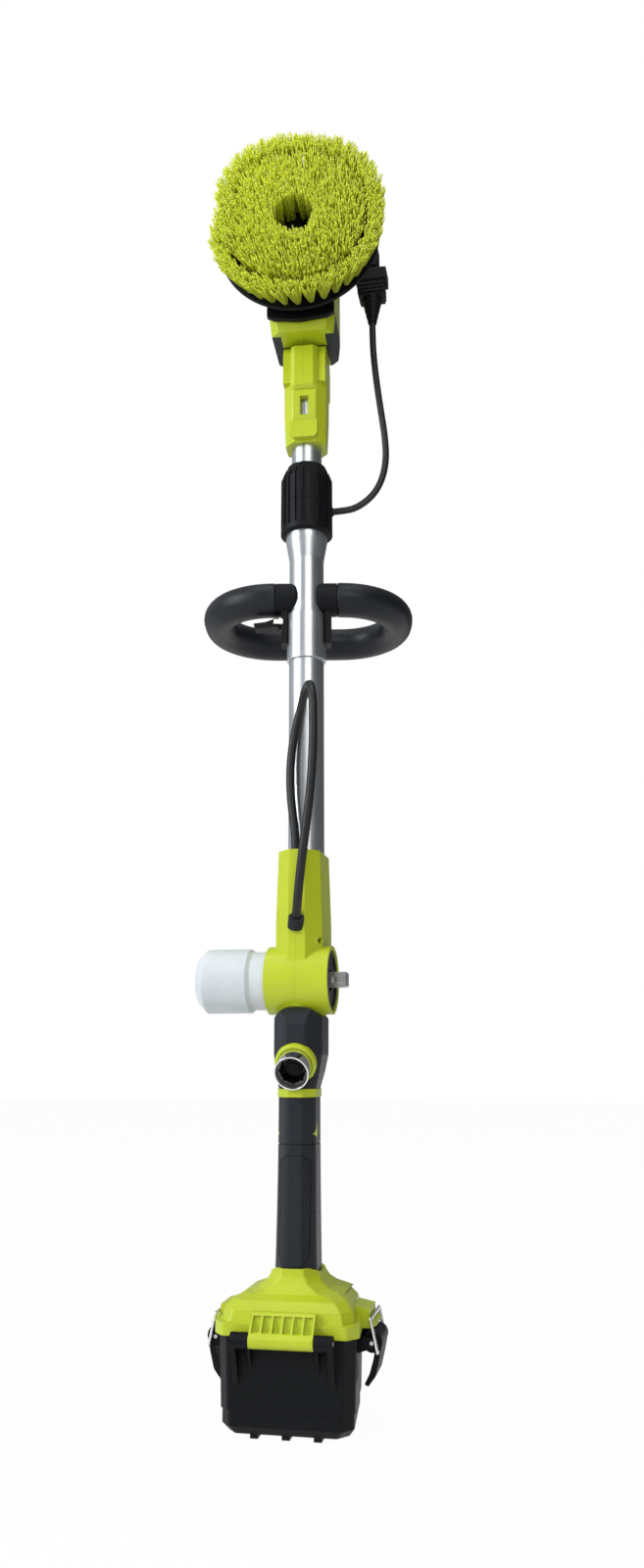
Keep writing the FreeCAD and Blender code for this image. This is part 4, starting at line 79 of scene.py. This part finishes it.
CAMERA_TURN, CAMERA_PITCH, CAMERA_ROLL = math.radians(11.0), math.radians(13.5), 0.002
CAMERA_PLACE = (0.2017, -0.9642, 0.275)
SENSOR_WIDTH, LENS, NEAREST = 36.0, 25.875, 0.01


def set_camera():
    turn, pitch, roll = CAMERA_TURN, CAMERA_PITCH, CAMERA_ROLL
    side = Vector((math.cos(turn), math.sin(turn), 0))
    look = Vector((-math.sin(turn) * math.cos(pitch),
                   math.cos(turn) * math.cos(pitch),
                   math.sin(pitch)))
    up = side.cross(look)
    right = side * math.cos(roll) - up * math.sin(roll)
    upward = up * math.cos(roll) + side * math.sin(roll)
    data = bpy.data.cameras.new("camera")
    data.sensor_width = SENSOR_WIDTH
    data.lens = LENS
    data.clip_start = NEAREST
    camera = add_object("camera", data)
    axes = Matrix((right, upward, -look)).transposed().to_4x4()
    camera.matrix_world = Matrix.Translation(CAMERA_PLACE) @ axes
    bpy.context.scene.camera = camera


set_camera()


# Cords: the source's routes and diameters in millimetres, metres in the curve

LOWER_ROUTE = [
    (0.0, -42.5, 383.0), (2.2, -49.0, 392.5), (4.6, -54.0, 408.3),
    (7.7, -57.5, 430.8), (11.6, -60.0, 456.8), (15.4, -61.5, 483.0),
    (17.8, -62.5, 509.7), (18.9, -63.2, 533.4), (19.0, -63.2, 556.0),
    (18.2, -62.4, 576.0), (13.6, -51.0, 590.0), (6.6, -34.5, 590.5),
    (0.2, -23.8, 577.0), (-5.0, -21.2, 559.5), (-8.6, -20.8, 540.0),
    (-10.2, -21.4, 518.3), (-9.4, -22.2, 496.1), (-6.7, -23.6, 475.8),
    (-4.2, -25.2, 457.5), (-4.0, -25.6, 443.4),
]
HEAD_ROUTE = [
    (25.0, 2.0, 777.0), (34.0, 2.0, 777.0), (45.8, 3.5, 779.0),
    (57.0, 5.5, 786.6), (66.3, 7.0, 797.2), (72.9, 8.5, 812.7),
    (76.0, 9.5, 832.5), (74.8, 10.5, 856.3), (71.6, 11.2, 881.4),
    (68.4, 11.7, 907.0), (65.8, 12.0, 932.5), (64.0, 12.0, 958.4),
    (64.0, 12.0, 983.0),
]
PIGTAIL_ROUTE = [
    (64.0, 12.0, 1074.0), (64.0, 12.0, 1088.0), (55.0, 16.0, 1100.5),
    (38.5, 22.5, 1101.0), (26.5, 27.5, 1088.5), (22.6, 29.6, 1070.0),
    (21.6, 30.0, 1050.0), (22.0, 30.0, 1031.0), (22.0, 30.0, 1013.0),
]
LOWER_DIAMETER, LEAD_DIAMETER = 7.6, 6.4
ROUTE_STEPS, BEVEL_STEPS = 10, 6


def cord_curve(name, route, diameter):
    """A smooth tube along the route; each point's radius is the cord's."""
    curve = bpy.data.curves.new(name, "CURVE")
    curve.dimensions = "3D"
    spline = curve.splines.new("NURBS")
    spline.points.add(len(route) - 1)
    for point, (x, y, z) in zip(spline.points, route):
        point.co = (x * MM, y * MM, z * MM, 1.0)
        point.radius = diameter / 2 * MM
    spline.order_u = 3
    spline.use_endpoint_u = True
    spline.resolution_u = ROUTE_STEPS
    curve.bevel_depth = 1.0
    curve.bevel_resolution = BEVEL_STEPS
    curve.use_fill_caps = True
    return add_object(name, curve)


def declare_cord(cad_node):
    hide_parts(cad_node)


def make_cord(name, route, diameter, body, cad_node):
    cord = cord_curve(name, route, diameter)
    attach(cord, body)
    declare_cord(cad_node)
    return cord


def make_paid_out_cord(name, route, diameter, cad_node):
    """A smooth mesh tube along the route, baked in place and attached to no body."""
    curve = cord_curve(name + "_route", route, diameter)
    tube = bpy.data.meshes.new_from_object(curve)
    curve.data.bevel_depth = 0.0
    line = bpy.data.meshes.new_from_object(curve)
    bpy.data.objects.remove(curve)
    bpy.data.meshes.remove(line)
    tube.name = name
    smooth_faces(tube)
    cord = add_object(name, tube)
    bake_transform(cord)
    declare_cord(cad_node)
    return cord


CORDS = (
    make_cord("lower_cable_jacket", LOWER_ROUTE, LOWER_DIAMETER,
              "handle", "lower_cable"),
    make_paid_out_cord("head_cable_jacket", HEAD_ROUTE, LEAD_DIAMETER,
                       "head_cable"),
    make_cord("pigtail_jacket", PIGTAIL_ROUTE, LEAD_DIAMETER,
              "scrub_head", "pigtail"),
)


# Shader nodes; scales are per metre, radii and bump distances are in metres

CORNER_SAMPLES = 4
CORNER_START, CORNER_FULL = 0.985, 0.9


def open_tree(owner, output):
    """The owner's node tree, with nothing in it but the output."""
    owner.use_nodes = True
    tree = owner.node_tree
    tree.nodes.clear()
    return tree, tree.nodes.new(output)


def new_material(name):
    material = bpy.data.materials.new(name)
    tree, out = open_tree(material, "ShaderNodeOutputMaterial")
    shader = tree.nodes.new("ShaderNodeBsdfPrincipled")
    tree.links.new(shader.outputs[0], out.inputs[0])
    return material, tree, shader


def feed(tree, made, inputs):
    """Links each input to a socket, or sets it to a value."""
    for key, value in inputs.items():
        if hasattr(value, "is_output"):
            tree.links.new(value, made.inputs[key])
        else:
            made.inputs[key].default_value = value


def node(tree, kind, inputs=None, **settings):
    made = tree.nodes.new(kind)
    for key, value in settings.items():
        setattr(made, key, value)
    feed(tree, made, inputs or {})
    return made


def texture_place(tree, stretch=(1, 1, 1)):
    coordinate = node(tree, "ShaderNodeTexCoord").outputs["Object"]
    return node(tree, "ShaderNodeMapping", {"Vector": coordinate, "Scale": stretch}).outputs[0]


def noise(tree, where, scale, detail=3.0, rough=0.5):
    made = node(tree, "ShaderNodeTexNoise", {
        "Vector": where, "Scale": scale, "Detail": detail, "Roughness": rough})
    return made.outputs["Fac"]


def spread(tree, value, low, high, start=0.3, end=0.7):
    made = node(tree, "ShaderNodeMapRange", {
        "Value": value, "From Min": start, "From Max": end, "To Min": low, "To Max": high})
    return made.outputs[0]


def mix(tree, factor, a, b):
    return node(tree, "ShaderNodeMix", {0: factor, 6: a, 7: b}, data_type="RGBA").outputs[2]


def combine(tree, operation, a, b):
    return node(tree, "ShaderNodeMath", {0: a, 1: b}, operation=operation).outputs[0]


def rounded(tree, radius):
    return node(tree, "ShaderNodeBevel", {"Radius": radius}, samples=CORNER_SAMPLES).outputs[0]


def edges(tree, radius):
    """0 on flats, rising to 1 on sharp corners."""
    flat = node(tree, "ShaderNodeNewGeometry").outputs["Normal"]
    dot = node(tree, "ShaderNodeVectorMath", {0: rounded(tree, radius), 1: flat},
               operation="DOT_PRODUCT")
    return spread(tree, dot.outputs["Value"], 0.0, 1.0, CORNER_START, CORNER_FULL)


def relief(tree, strength, distance, height, soft=None):
    """The normal of a fine relief, on corners rounded by soft."""
    inputs = {"Strength": strength, "Distance": distance, "Height": height}
    if soft is not None:
        inputs["Normal"] = rounded(tree, soft)
    return node(tree, "ShaderNodeBump", inputs).outputs[0]


def opaque(colour, gain=1.0, lift=0.0):
    return tuple(min(1, c * gain + lift) for c in colour) + (1,)


# Materials

FLOW_SCALE, RUB_SCALE = 22.0, 420.0
RUB_GAIN, RUB_LIFT, RUB_LEAST = 1.35, 0.03, 0.1
SHEEN_BELOW, SHEEN_ABOVE = 0.05, 0.07
MOULD_RELIEF = 0.0002

LINE_SCALE, SMUDGE_SCALE = 900.0, 30.0
LINE_SHADE = 0.88
METAL_RELIEF, METAL_CORNER = 0.0001, 0.0004

BOTTLE_DARK, BOTTLE_LIGHT = (0.60, 0.645, 0.69, 1), (0.69, 0.73, 0.77, 1)
BOTTLE_FLOW_SCALE, BOTTLE_GRAIN = 35.0, 160.0
BOTTLE_ROUGHNESS = (0.30, 0.42)
BOTTLE_DEPTH, BOTTLE_RADIUS = 0.35, (0.006, 0.007, 0.008)
BOTTLE_BUMP, BOTTLE_RELIEF, BOTTLE_CORNER = 0.15, 0.0003, 0.0012

# From TIP_Y to ROOT_Y the fibres darken towards the plate: painted shade deep among the bristles
TIP_Y, ROOT_Y = -0.098, -0.062
ROOT_SHADE_COLOUR, TIP_COLOUR = (0.34, 0.40, 0.010, 1), (0.80, 0.88, 0.03, 1)
PALE_COLOUR = (0.93, 0.98, 0.16, 1)
TINT_SCALE, TINT_SHARE = 600.0, 0.5
FIBRE_ROUGHNESS = (0.30, 0.45)
FIBRE_SPECULAR = 0.35
FIBRE_DEPTH, FIBRE_RADIUS = 0.4, (0.002, 0.002, 0.001)
FIBRE_BUMP, FIBRE_RELIEF = 0.2, 0.0001


def moulded(name, colour, roughness, grain, depth, shift=0.10, edge=0.25, specular=0.5,
            soft=0.0008, cells=False):
    """Injection-moulded plastic: fine tool texture, slight flow marks and rubbed edges."""
    material, tree, shader = new_material(name)
    where = texture_place(tree)
    flow = noise(tree, where, FLOW_SCALE, 2.0)
    fine = noise(tree, where, RUB_SCALE, 2.0)
    base = mix(tree, spread(tree, flow, 0, 1), opaque(colour, 1 - shift), opaque(colour, 1 + shift))
    worn = combine(tree, "MULTIPLY", edges(tree, soft), spread(tree, fine, RUB_LEAST, 1.0))
    strength = combine(tree, "MULTIPLY", worn, edge)
    base = mix(tree, strength, base, opaque(colour, RUB_GAIN, RUB_LIFT))
    sheen = spread(tree, fine, roughness - SHEEN_BELOW, roughness + SHEEN_ABOVE)
    if cells:
        pores = node(tree, "ShaderNodeTexVoronoi", {"Vector": where, "Scale": grain})
        height = pores.outputs["Distance"]
    else:
        height = noise(tree, where, grain, 2.0, 0.6)
    feed(tree, shader, {
        "Base Color": base, "Roughness": sheen, "Specular IOR Level": specular,
        "Normal": relief(tree, depth, MOULD_RELIEF, height, soft)})
    return material


def metal(name, colour, roughness, depth, stretch=(1, 1, 1), scuffs=0.06):
    """Drawn, turned or plated metal: fine lines along one way, faint scuffs and smudges."""
    material, tree, shader = new_material(name)
    lines = noise(tree, texture_place(tree, stretch), LINE_SCALE, 3.0, 0.6)
    smudge = noise(tree, texture_place(tree), SMUDGE_SCALE, 4.0)
    base = mix(tree, spread(tree, lines, 0, 1), opaque(colour, LINE_SHADE), opaque(colour))
    sheen = combine(tree, "ADD", spread(tree, lines, 0, scuffs),
                    spread(tree, smudge, roughness, roughness + scuffs))
    feed(tree, shader, {
        "Base Color": base, "Metallic": 1.0, "Roughness": sheen,
        "Normal": relief(tree, depth, METAL_RELIEF, lines, METAL_CORNER)})
    return material


def milky(name):
    """Blow-moulded bottle: milky plastic with a cool cast and faint mould flow."""
    material, tree, shader = new_material(name)
    where = texture_place(tree)
    flow = noise(tree, where, BOTTLE_FLOW_SCALE, 3.0)
    height = noise(tree, where, BOTTLE_GRAIN)
    feed(tree, shader, {
        "Base Color": mix(tree, spread(tree, flow, 0, 1), BOTTLE_DARK, BOTTLE_LIGHT),
        "Roughness": spread(tree, flow, *BOTTLE_ROUGHNESS),
        "Subsurface Weight": BOTTLE_DEPTH, "Subsurface Radius": BOTTLE_RADIUS,
        "Subsurface Scale": 1.0,
        "Normal": relief(tree, BOTTLE_BUMP, BOTTLE_RELIEF, height, BOTTLE_CORNER)})
    return material


def filament(name):
    """Bristle fibre: darker towards the plate with painted shade, with a thread to thread change of
    tint.
    """
    material, tree, shader = new_material(name)
    where = texture_place(tree)
    split = node(tree, "ShaderNodeSeparateXYZ", {0: where})
    # Painted shade: the colour darkens from the tips to the roots at the plate
    along = spread(tree, split.outputs[1], 1.0, 0.0, TIP_Y, ROOT_Y)
    root = mix(tree, along, ROOT_SHADE_COLOUR, TIP_COLOUR)
    tint = noise(tree, where, TINT_SCALE, 1.0)
    feed(tree, shader, {
        "Base Color": mix(tree, spread(tree, tint, 0.0, TINT_SHARE), root, PALE_COLOUR),
        "Roughness": spread(tree, tint, *FIBRE_ROUGHNESS),
        "Specular IOR Level": FIBRE_SPECULAR,
        "Subsurface Weight": FIBRE_DEPTH, "Subsurface Radius": FIBRE_RADIUS,
        "Subsurface Scale": 1.0,
        "Normal": relief(tree, FIBRE_BUMP, FIBRE_RELIEF, tint)})
    return material


MOULDED = {
    "lime_plastic": dict(colour=(0.47, 0.55, 0.014), roughness=0.36, grain=1800.0, depth=0.30,
                         shift=0.05, edge=0.35),
    "black_plastic": dict(colour=(0.0042, 0.0048, 0.0062), roughness=0.48, grain=1400.0,
                          depth=0.45, edge=0.35, specular=0.14),
    "dark_grey_plastic": dict(colour=(0.014, 0.017, 0.022), roughness=0.40, grain=1500.0,
                              depth=0.4, edge=0.35, specular=0.24),
    "grip_rubber": dict(colour=(0.010, 0.012, 0.016), roughness=0.58, grain=950.0, depth=0.5,
                        specular=0.30, cells=True),
    "foam": dict(colour=(0.008, 0.0095, 0.013), roughness=0.42, grain=700.0, depth=0.35,
                 specular=0.26, soft=0.002, cells=True),
    "cable_rubber": dict(colour=(0.0075, 0.0075, 0.008), roughness=0.42, grain=1200.0,
                         depth=0.25, specular=0.4),
}
METALS = {
    "aluminium": dict(colour=(0.60, 0.62, 0.64), roughness=0.28, depth=0.12,
                      stretch=(1, 1, 0.012)),
    "steel": dict(colour=(0.62, 0.61, 0.59), roughness=0.24, depth=0.10),
    "chrome": dict(colour=(0.86, 0.86, 0.87), roughness=0.08, depth=0.04, scuffs=0.03),
    "dark_steel": dict(colour=(0.10, 0.10, 0.105), roughness=0.30, depth=0.10),
}
MATERIALS = {name: moulded(name, **looks) for name, looks in MOULDED.items()}
MATERIALS.update({name: metal(name, **looks) for name, looks in METALS.items()})
MATERIALS["white_bottle"] = milky("white_bottle")
MATERIALS["bristle"] = filament("bristle")


def dress(piece, slot):
    data = piece.data
    data.materials.clear()
    data.materials.append(MATERIALS[slot])


def finish_piece(mesh, name, slot, body, replaced, smooth=False):
    piece = mesh_object(mesh, name)
    if smooth:
        smooth_faces(piece.data)
    dress(piece, slot)
    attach(piece, body)
    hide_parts(replaced)


def turn_mesh(mesh, degrees):
    bmesh.ops.rotate(mesh, verts=mesh.verts, cent=(0, 0, 0),
                     matrix=Matrix.Rotation(math.radians(degrees), 3, "Z"))


for part in RECORD["subparts"]:
    if part["node"] in NODES:
        dress(NODES[part["node"]], part["material_slot"])
dress(NODES["coupling_body"], "dark_steel")
for cord in CORDS:
    dress(cord, "cable_rubber")


# Brush filaments, made with the brush facing -Y and then turned with the head

PLATE = Vector((0.0, -60.0, 1034.0))
HEAD_TURN = 4.0
FORWARD = Vector((0, -1, 0))

FILAMENT_WIDTH = 0.95
FILAMENT_SIDES = 3
FILAMENT_RINGS = ((0.0, 1.0), (0.55, 1.0), (1.0, 0.75))
SIDE_GUIDE = Vector((0.31, 0.2, 0.9))
LENGTH_LOSS, TIP_STRAY, BOW = 1.8, 0.7, 0.5

BRISTLE_LENGTH = 38.5
FIELD_LENGTH, RING_LENGTH = BRISTLE_LENGTH - 1.0, BRISTLE_LENGTH - 1.2

# Radius, tufts, lean in degrees and spread of the tips of each row of the field
FIELD_ROWS = (
    (22.6, 19, 0.5, 3.0),
    (30.0, 25, 1.5, 3.6),
    (38.0, 31, 3.5, 4.2),
    (46.5, 37, 7.0, 4.8),
    (55.0, 43, 11.5, 5.6),
)
FIELD_TUFT, FIELD_ROOT, FIELD_HOLE = 34, 2.5, 18.6
ROW_STRAY = 0.5

RING_TUFTS, RING_STEP = 36, 10.0
RING_TUFT, RING_ROOT = 130, 2.4
RING_RADIUS, RING_TIPS, RING_REACH = 71.0, 6.8, 87.6

# Middle and width in degrees, and depth, of each place where wear has pressed the ring in
RING_DENTS = ((174.0, 27.0, 13.5), (0.0, 18.0, 3.6), (360.0, 18.0, 3.6), (83.0, 16.0, 3.4))


def add_filament(mesh, root, tip, bow):
    """One filament as a bent three-sided fibre with a blunt tip."""
    along = (tip - root).normalized()
    across = along.cross(SIDE_GUIDE).normalized()
    third = along.cross(across)
    rings = []
    for share, thick in FILAMENT_RINGS:
        centre = root.lerp(tip, share) + bow * math.sin(math.pi * share)
        ring = []
        for k in range(FILAMENT_SIDES):
            angle = FULL_TURN * k / FILAMENT_SIDES
            way = across * math.cos(angle) + third * math.sin(angle)
            offset = way * FILAMENT_WIDTH / 2 * thick
            ring.append(mesh.verts.new((centre + offset) * MM))
        rings.append(ring)
    for low, high in zip(rings, rings[1:]):
        join_rings(mesh, low, high)
    mesh.faces.new(rings[-1])
    mesh.faces.new(rings[0][::-1])


def join_rings(mesh, low, high):
    for k in range(len(low)):
        after = (k + 1) % len(low)
        mesh.faces.new((low[k], low[after], high[after], high[k]))


def disc_point(rng):
    share, angle = math.sqrt(rng.random()), FULL_TURN * rng.random()
    return share * math.cos(angle), share * math.sin(angle)


def tuft(mesh, rng, radius, angle, lean, root_spread, tip_spread, count, length, hole=None):
    """A bundle set in one hole of the plate: tight at the root, splayed at the tip.

    With hole, no tip comes nearer than that to the brush's axis."""
    outward = Vector((math.cos(angle), 0, math.sin(angle)))
    sideways = Vector((-math.sin(angle), 0, math.cos(angle)))
    for _ in range(count):
        u, v = disc_point(rng)
        root = PLATE + outward * (radius + u * root_spread) + sideways * v * root_spread
        reach = length + rng.uniform(-LENGTH_LOSS, 0.0)
        out = reach * math.tan(lean) + u * tip_spread + rng.uniform(-TIP_STRAY, TIP_STRAY)
        if hole is not None:
            out = max(out, hole - radius)
        aside = v * tip_spread + rng.uniform(-TIP_STRAY, TIP_STRAY)
        tip = root + FORWARD * reach + outward * out + sideways * aside
        bow = outward * rng.uniform(-BOW, BOW) + sideways * rng.uniform(-BOW, BOW)
        add_filament(mesh, root, tip, bow)


def make_field():
    rng = random.Random(7)
    mesh = bmesh.new()
    for radius, count, lean, tips in FIELD_ROWS:
        for k in range(count):
            angle = FULL_TURN * (k + ROW_STRAY * rng.random()) / count
            tuft(mesh, rng, radius, angle, math.radians(lean), FIELD_ROOT, tips,
                 FIELD_TUFT, FIELD_LENGTH, FIELD_HOLE)
    turn_mesh(mesh, HEAD_TURN)
    finish_piece(mesh, "bristle_field", "bristle", "brush", "brush_bristles")


def ring_reach(degrees):
    """How far out the ring's tips reach."""
    reach = RING_REACH
    for middle, width, dent in RING_DENTS:
        reach -= dent * math.exp(-((degrees - middle) / width) ** 2)
    return reach


def make_ring():
    rng = random.Random(11)
    mesh = bmesh.new()
    for k in range(RING_TUFTS):
        degrees = RING_STEP * k
        lean = math.atan((ring_reach(degrees) - RING_TIPS - RING_RADIUS) / RING_LENGTH)
        tuft(mesh, rng, RING_RADIUS, math.radians(degrees), lean, RING_ROOT, RING_TIPS,
             RING_TUFT, RING_LENGTH)
    turn_mesh(mesh, HEAD_TURN)
    finish_piece(mesh, "bristle_ring", "bristle", "brush", "brush_tufts")


make_field()
make_ring()


# Foam sleeve of the loop handle

LOOP_Z, LOOP_TURN = 688.0, 10.0
LOOP_HALF, LOOP_DEPTH, LOOP_CORNER = 86.0, 118.0, 54.0
FOAM_RADIUS, CORE_RADIUS, FOAM_START = 16.0, 9.5, 28.3
FOAM_SIDES = 32
SIDE_STEPS, CORNER_STEPS, BACK_STEPS = 3, 14, 10

# The rounded end of the foam: how far in from the end, and how thick it is there
FOAM_END = (
    (0.0, CORE_RADIUS),
    (0.0, FOAM_RADIUS - 1.8),
    (0.5, FOAM_RADIUS - 0.6),
    (1.8, FOAM_RADIUS),
)


def straight(start, end, steps):
    """Places and directions along a straight run, without its last place."""
    a, b = Vector(start), Vector(end)
    return [(a.lerp(b, i / steps), (b - a).normalized()) for i in range(steps)]


def loop_corner(x, y, start, end):
    """Places and directions round a corner of the loop, without its last place."""
    run = []
    for i in range(CORNER_STEPS):
        angle = math.radians(start + (end - start) * i / CORNER_STEPS)
        spot = Vector((math.cos(angle), math.sin(angle), 0))
        heading = Vector((-math.sin(angle), math.cos(angle), 0))
        run.append((Vector((x, y, 0)) + spot * LOOP_CORNER, heading))
    return run


def loop_stations():
    """Places and directions along the foam's centre line, from its right end to its left."""
    half, depth = LOOP_HALF, LOOP_DEPTH
    bend, back = half - LOOP_CORNER, depth - LOOP_CORNER
    runs = straight((FOAM_START, 0, 0), (bend, 0, 0), SIDE_STEPS)
    runs += loop_corner(bend, LOOP_CORNER, -90, 0)
    runs += straight((half, LOOP_CORNER, 0), (half, back, 0), SIDE_STEPS)
    runs += loop_corner(bend, back, 0, 90)
    runs += straight((bend, depth, 0), (-bend, depth, 0), BACK_STEPS)
    runs += loop_corner(-bend, back, 90, 180)
    runs += straight((-half, back, 0), (-half, LOOP_CORNER, 0), SIDE_STEPS)
    runs += loop_corner(-bend, LOOP_CORNER, 180, 270)
    runs += straight((-bend, 0, 0), (-FOAM_START, 0, 0), SIDE_STEPS)
    runs.append((Vector((-FOAM_START, 0, 0)), Vector((1, 0, 0))))
    return runs


def foam_profile():
    """Place, direction and radius of each ring of the foam."""
    stations = loop_stations()
    (right_end, right_way), (left_end, left_way) = stations[0], stations[-1]
    profile = [(right_end + right_way * inward, right_way, radius) for inward, radius in FOAM_END]
    profile += [(spot, heading, FOAM_RADIUS) for spot, heading in stations[2:-2]]
    profile += [(left_end - left_way * inward, left_way, radius)
                for inward, radius in reversed(FOAM_END)]
    return profile


def make_foam():
    mesh = bmesh.new()
    rings = []
    for spot, heading, radius in foam_profile():
        across = heading.cross(UP).normalized()
        ring = []
        for k in range(FOAM_SIDES):
            angle = FULL_TURN * k / FOAM_SIDES
            offset = across * math.cos(angle) * radius + Vector((0, 0, math.sin(angle) * radius))
            ring.append(mesh.verts.new((spot + offset + Vector((0, 0, LOOP_Z))) * MM))
        rings.append(ring)
    for low, high in zip(rings, rings[1:]):
        for k in range(FOAM_SIDES):
            after = (k + 1) % FOAM_SIDES
            mesh.faces.new((low[k], high[k], high[after], low[after]))
    # The mesh is closed by a tube of the core's radius between both ends, straight through
    # the clamp and the pole; the real foam has a bore along its whole length instead
    join_rings(mesh, rings[0], rings[-1])
    bmesh.ops.recalc_face_normals(mesh, faces=mesh.faces)
    turn_mesh(mesh, LOOP_TURN)
    finish_piece(mesh, "loop_foam", "foam", "loop_handle", "handle_foam", smooth=True)


make_foam()


# Studio, in metres

FLOOR_HALF, FLOOR_DROP = 6.0, 0.0004
FLOOR_COLOUR, FLOOR_GLOW = (0.82, 0.82, 0.82, 1), 0.97
WHITE = (1, 1, 1, 1)
SKY_COLOUR = (0.92, 0.96, 1.0, 1)
SKY_LEFT, SKY_RIGHT = 0.55, 0.12
SKY_FROM, SKY_TO = -0.9, 0.6

# Place, aim, width and height, watts and colour
LAMPS = {
    "window": ((-1.9, -1.5, 1.5), (0, 0, 0.6), (0.9, 1.8), 50.0, (0.93, 0.97, 1.0)),
    "front_fill": ((0.9, -2.2, 1.6), (0, 0, 0.6), (1.2, 1.2), 22.0, (1.0, 0.99, 0.96)),
    "top": ((0.1, -0.5, 2.5), (0, 0, 0.5), (1.4, 1.4), 16.0, (1.0, 1.0, 1.0)),
}


def make_floor():
    """White to the camera and in reflections; it catches a faint shadow."""
    mesh = bmesh.new()
    bmesh.ops.create_grid(mesh, x_segments=2, y_segments=2, size=FLOOR_HALF)
    floor = mesh_object(mesh, "studio_floor")
    floor.location = (0, 0, -FLOOR_DROP)
    material = bpy.data.materials.new("floor_paper")
    tree, out = open_tree(material, "ShaderNodeOutputMaterial")
    ray = node(tree, "ShaderNodeLightPath").outputs
    seen = combine(tree, "MAXIMUM", ray["Is Camera Ray"], ray["Is Glossy Ray"])
    seen = combine(tree, "MAXIMUM", seen, ray["Is Transmission Ray"])
    share = combine(tree, "MULTIPLY", seen, FLOOR_GLOW)
    paper = node(tree, "ShaderNodeBsdfDiffuse", {"Color": FLOOR_COLOUR})
    glow = node(tree, "ShaderNodeEmission", {"Color": WHITE, "Strength": 1.0})
    both = node(tree, "ShaderNodeMixShader", {0: share, 1: paper.outputs[0], 2: glow.outputs[0]})
    tree.links.new(both.outputs[0], out.inputs[0])
    floor.data.materials.append(material)


def make_world():
    """White to the camera; as light it is brighter from the left."""
    world = bpy.data.worlds.new("studio")
    bpy.context.scene.world = world
    tree, out = open_tree(world, "ShaderNodeOutputWorld")
    ray = node(tree, "ShaderNodeLightPath").outputs
    way = node(tree, "ShaderNodeTexCoord").outputs["Generated"]
    side = node(tree, "ShaderNodeSeparateXYZ", {0: way}).outputs[0]
    level = spread(tree, side, SKY_LEFT, SKY_RIGHT, SKY_FROM, SKY_TO)
    sky = node(tree, "ShaderNodeBackground", {"Color": SKY_COLOUR, "Strength": level})
    white = node(tree, "ShaderNodeBackground", {"Color": WHITE, "Strength": 1.0})
    both = node(tree, "ShaderNodeMixShader", {
        0: ray["Is Camera Ray"], 1: sky.outputs[0], 2: white.outputs[0]})
    tree.links.new(both.outputs[0], out.inputs[0])


def make_lamp(name, spot, aim, size, watts, colour):
    data = bpy.data.lights.new(name, "AREA")
    data.shape = "RECTANGLE"
    data.size, data.size_y = size
    data.energy = watts
    data.color = colour
    lamp = add_object(name, data)
    lamp.location = spot
    heading = Vector(aim) - Vector(spot)
    lamp.rotation_euler = heading.to_track_quat("-Z", "Y").to_euler()


make_floor()
make_world()
for name, settings in LAMPS.items():
    make_lamp(name, *settings)

bpy.context.scene.view_settings.view_transform = "Standard"
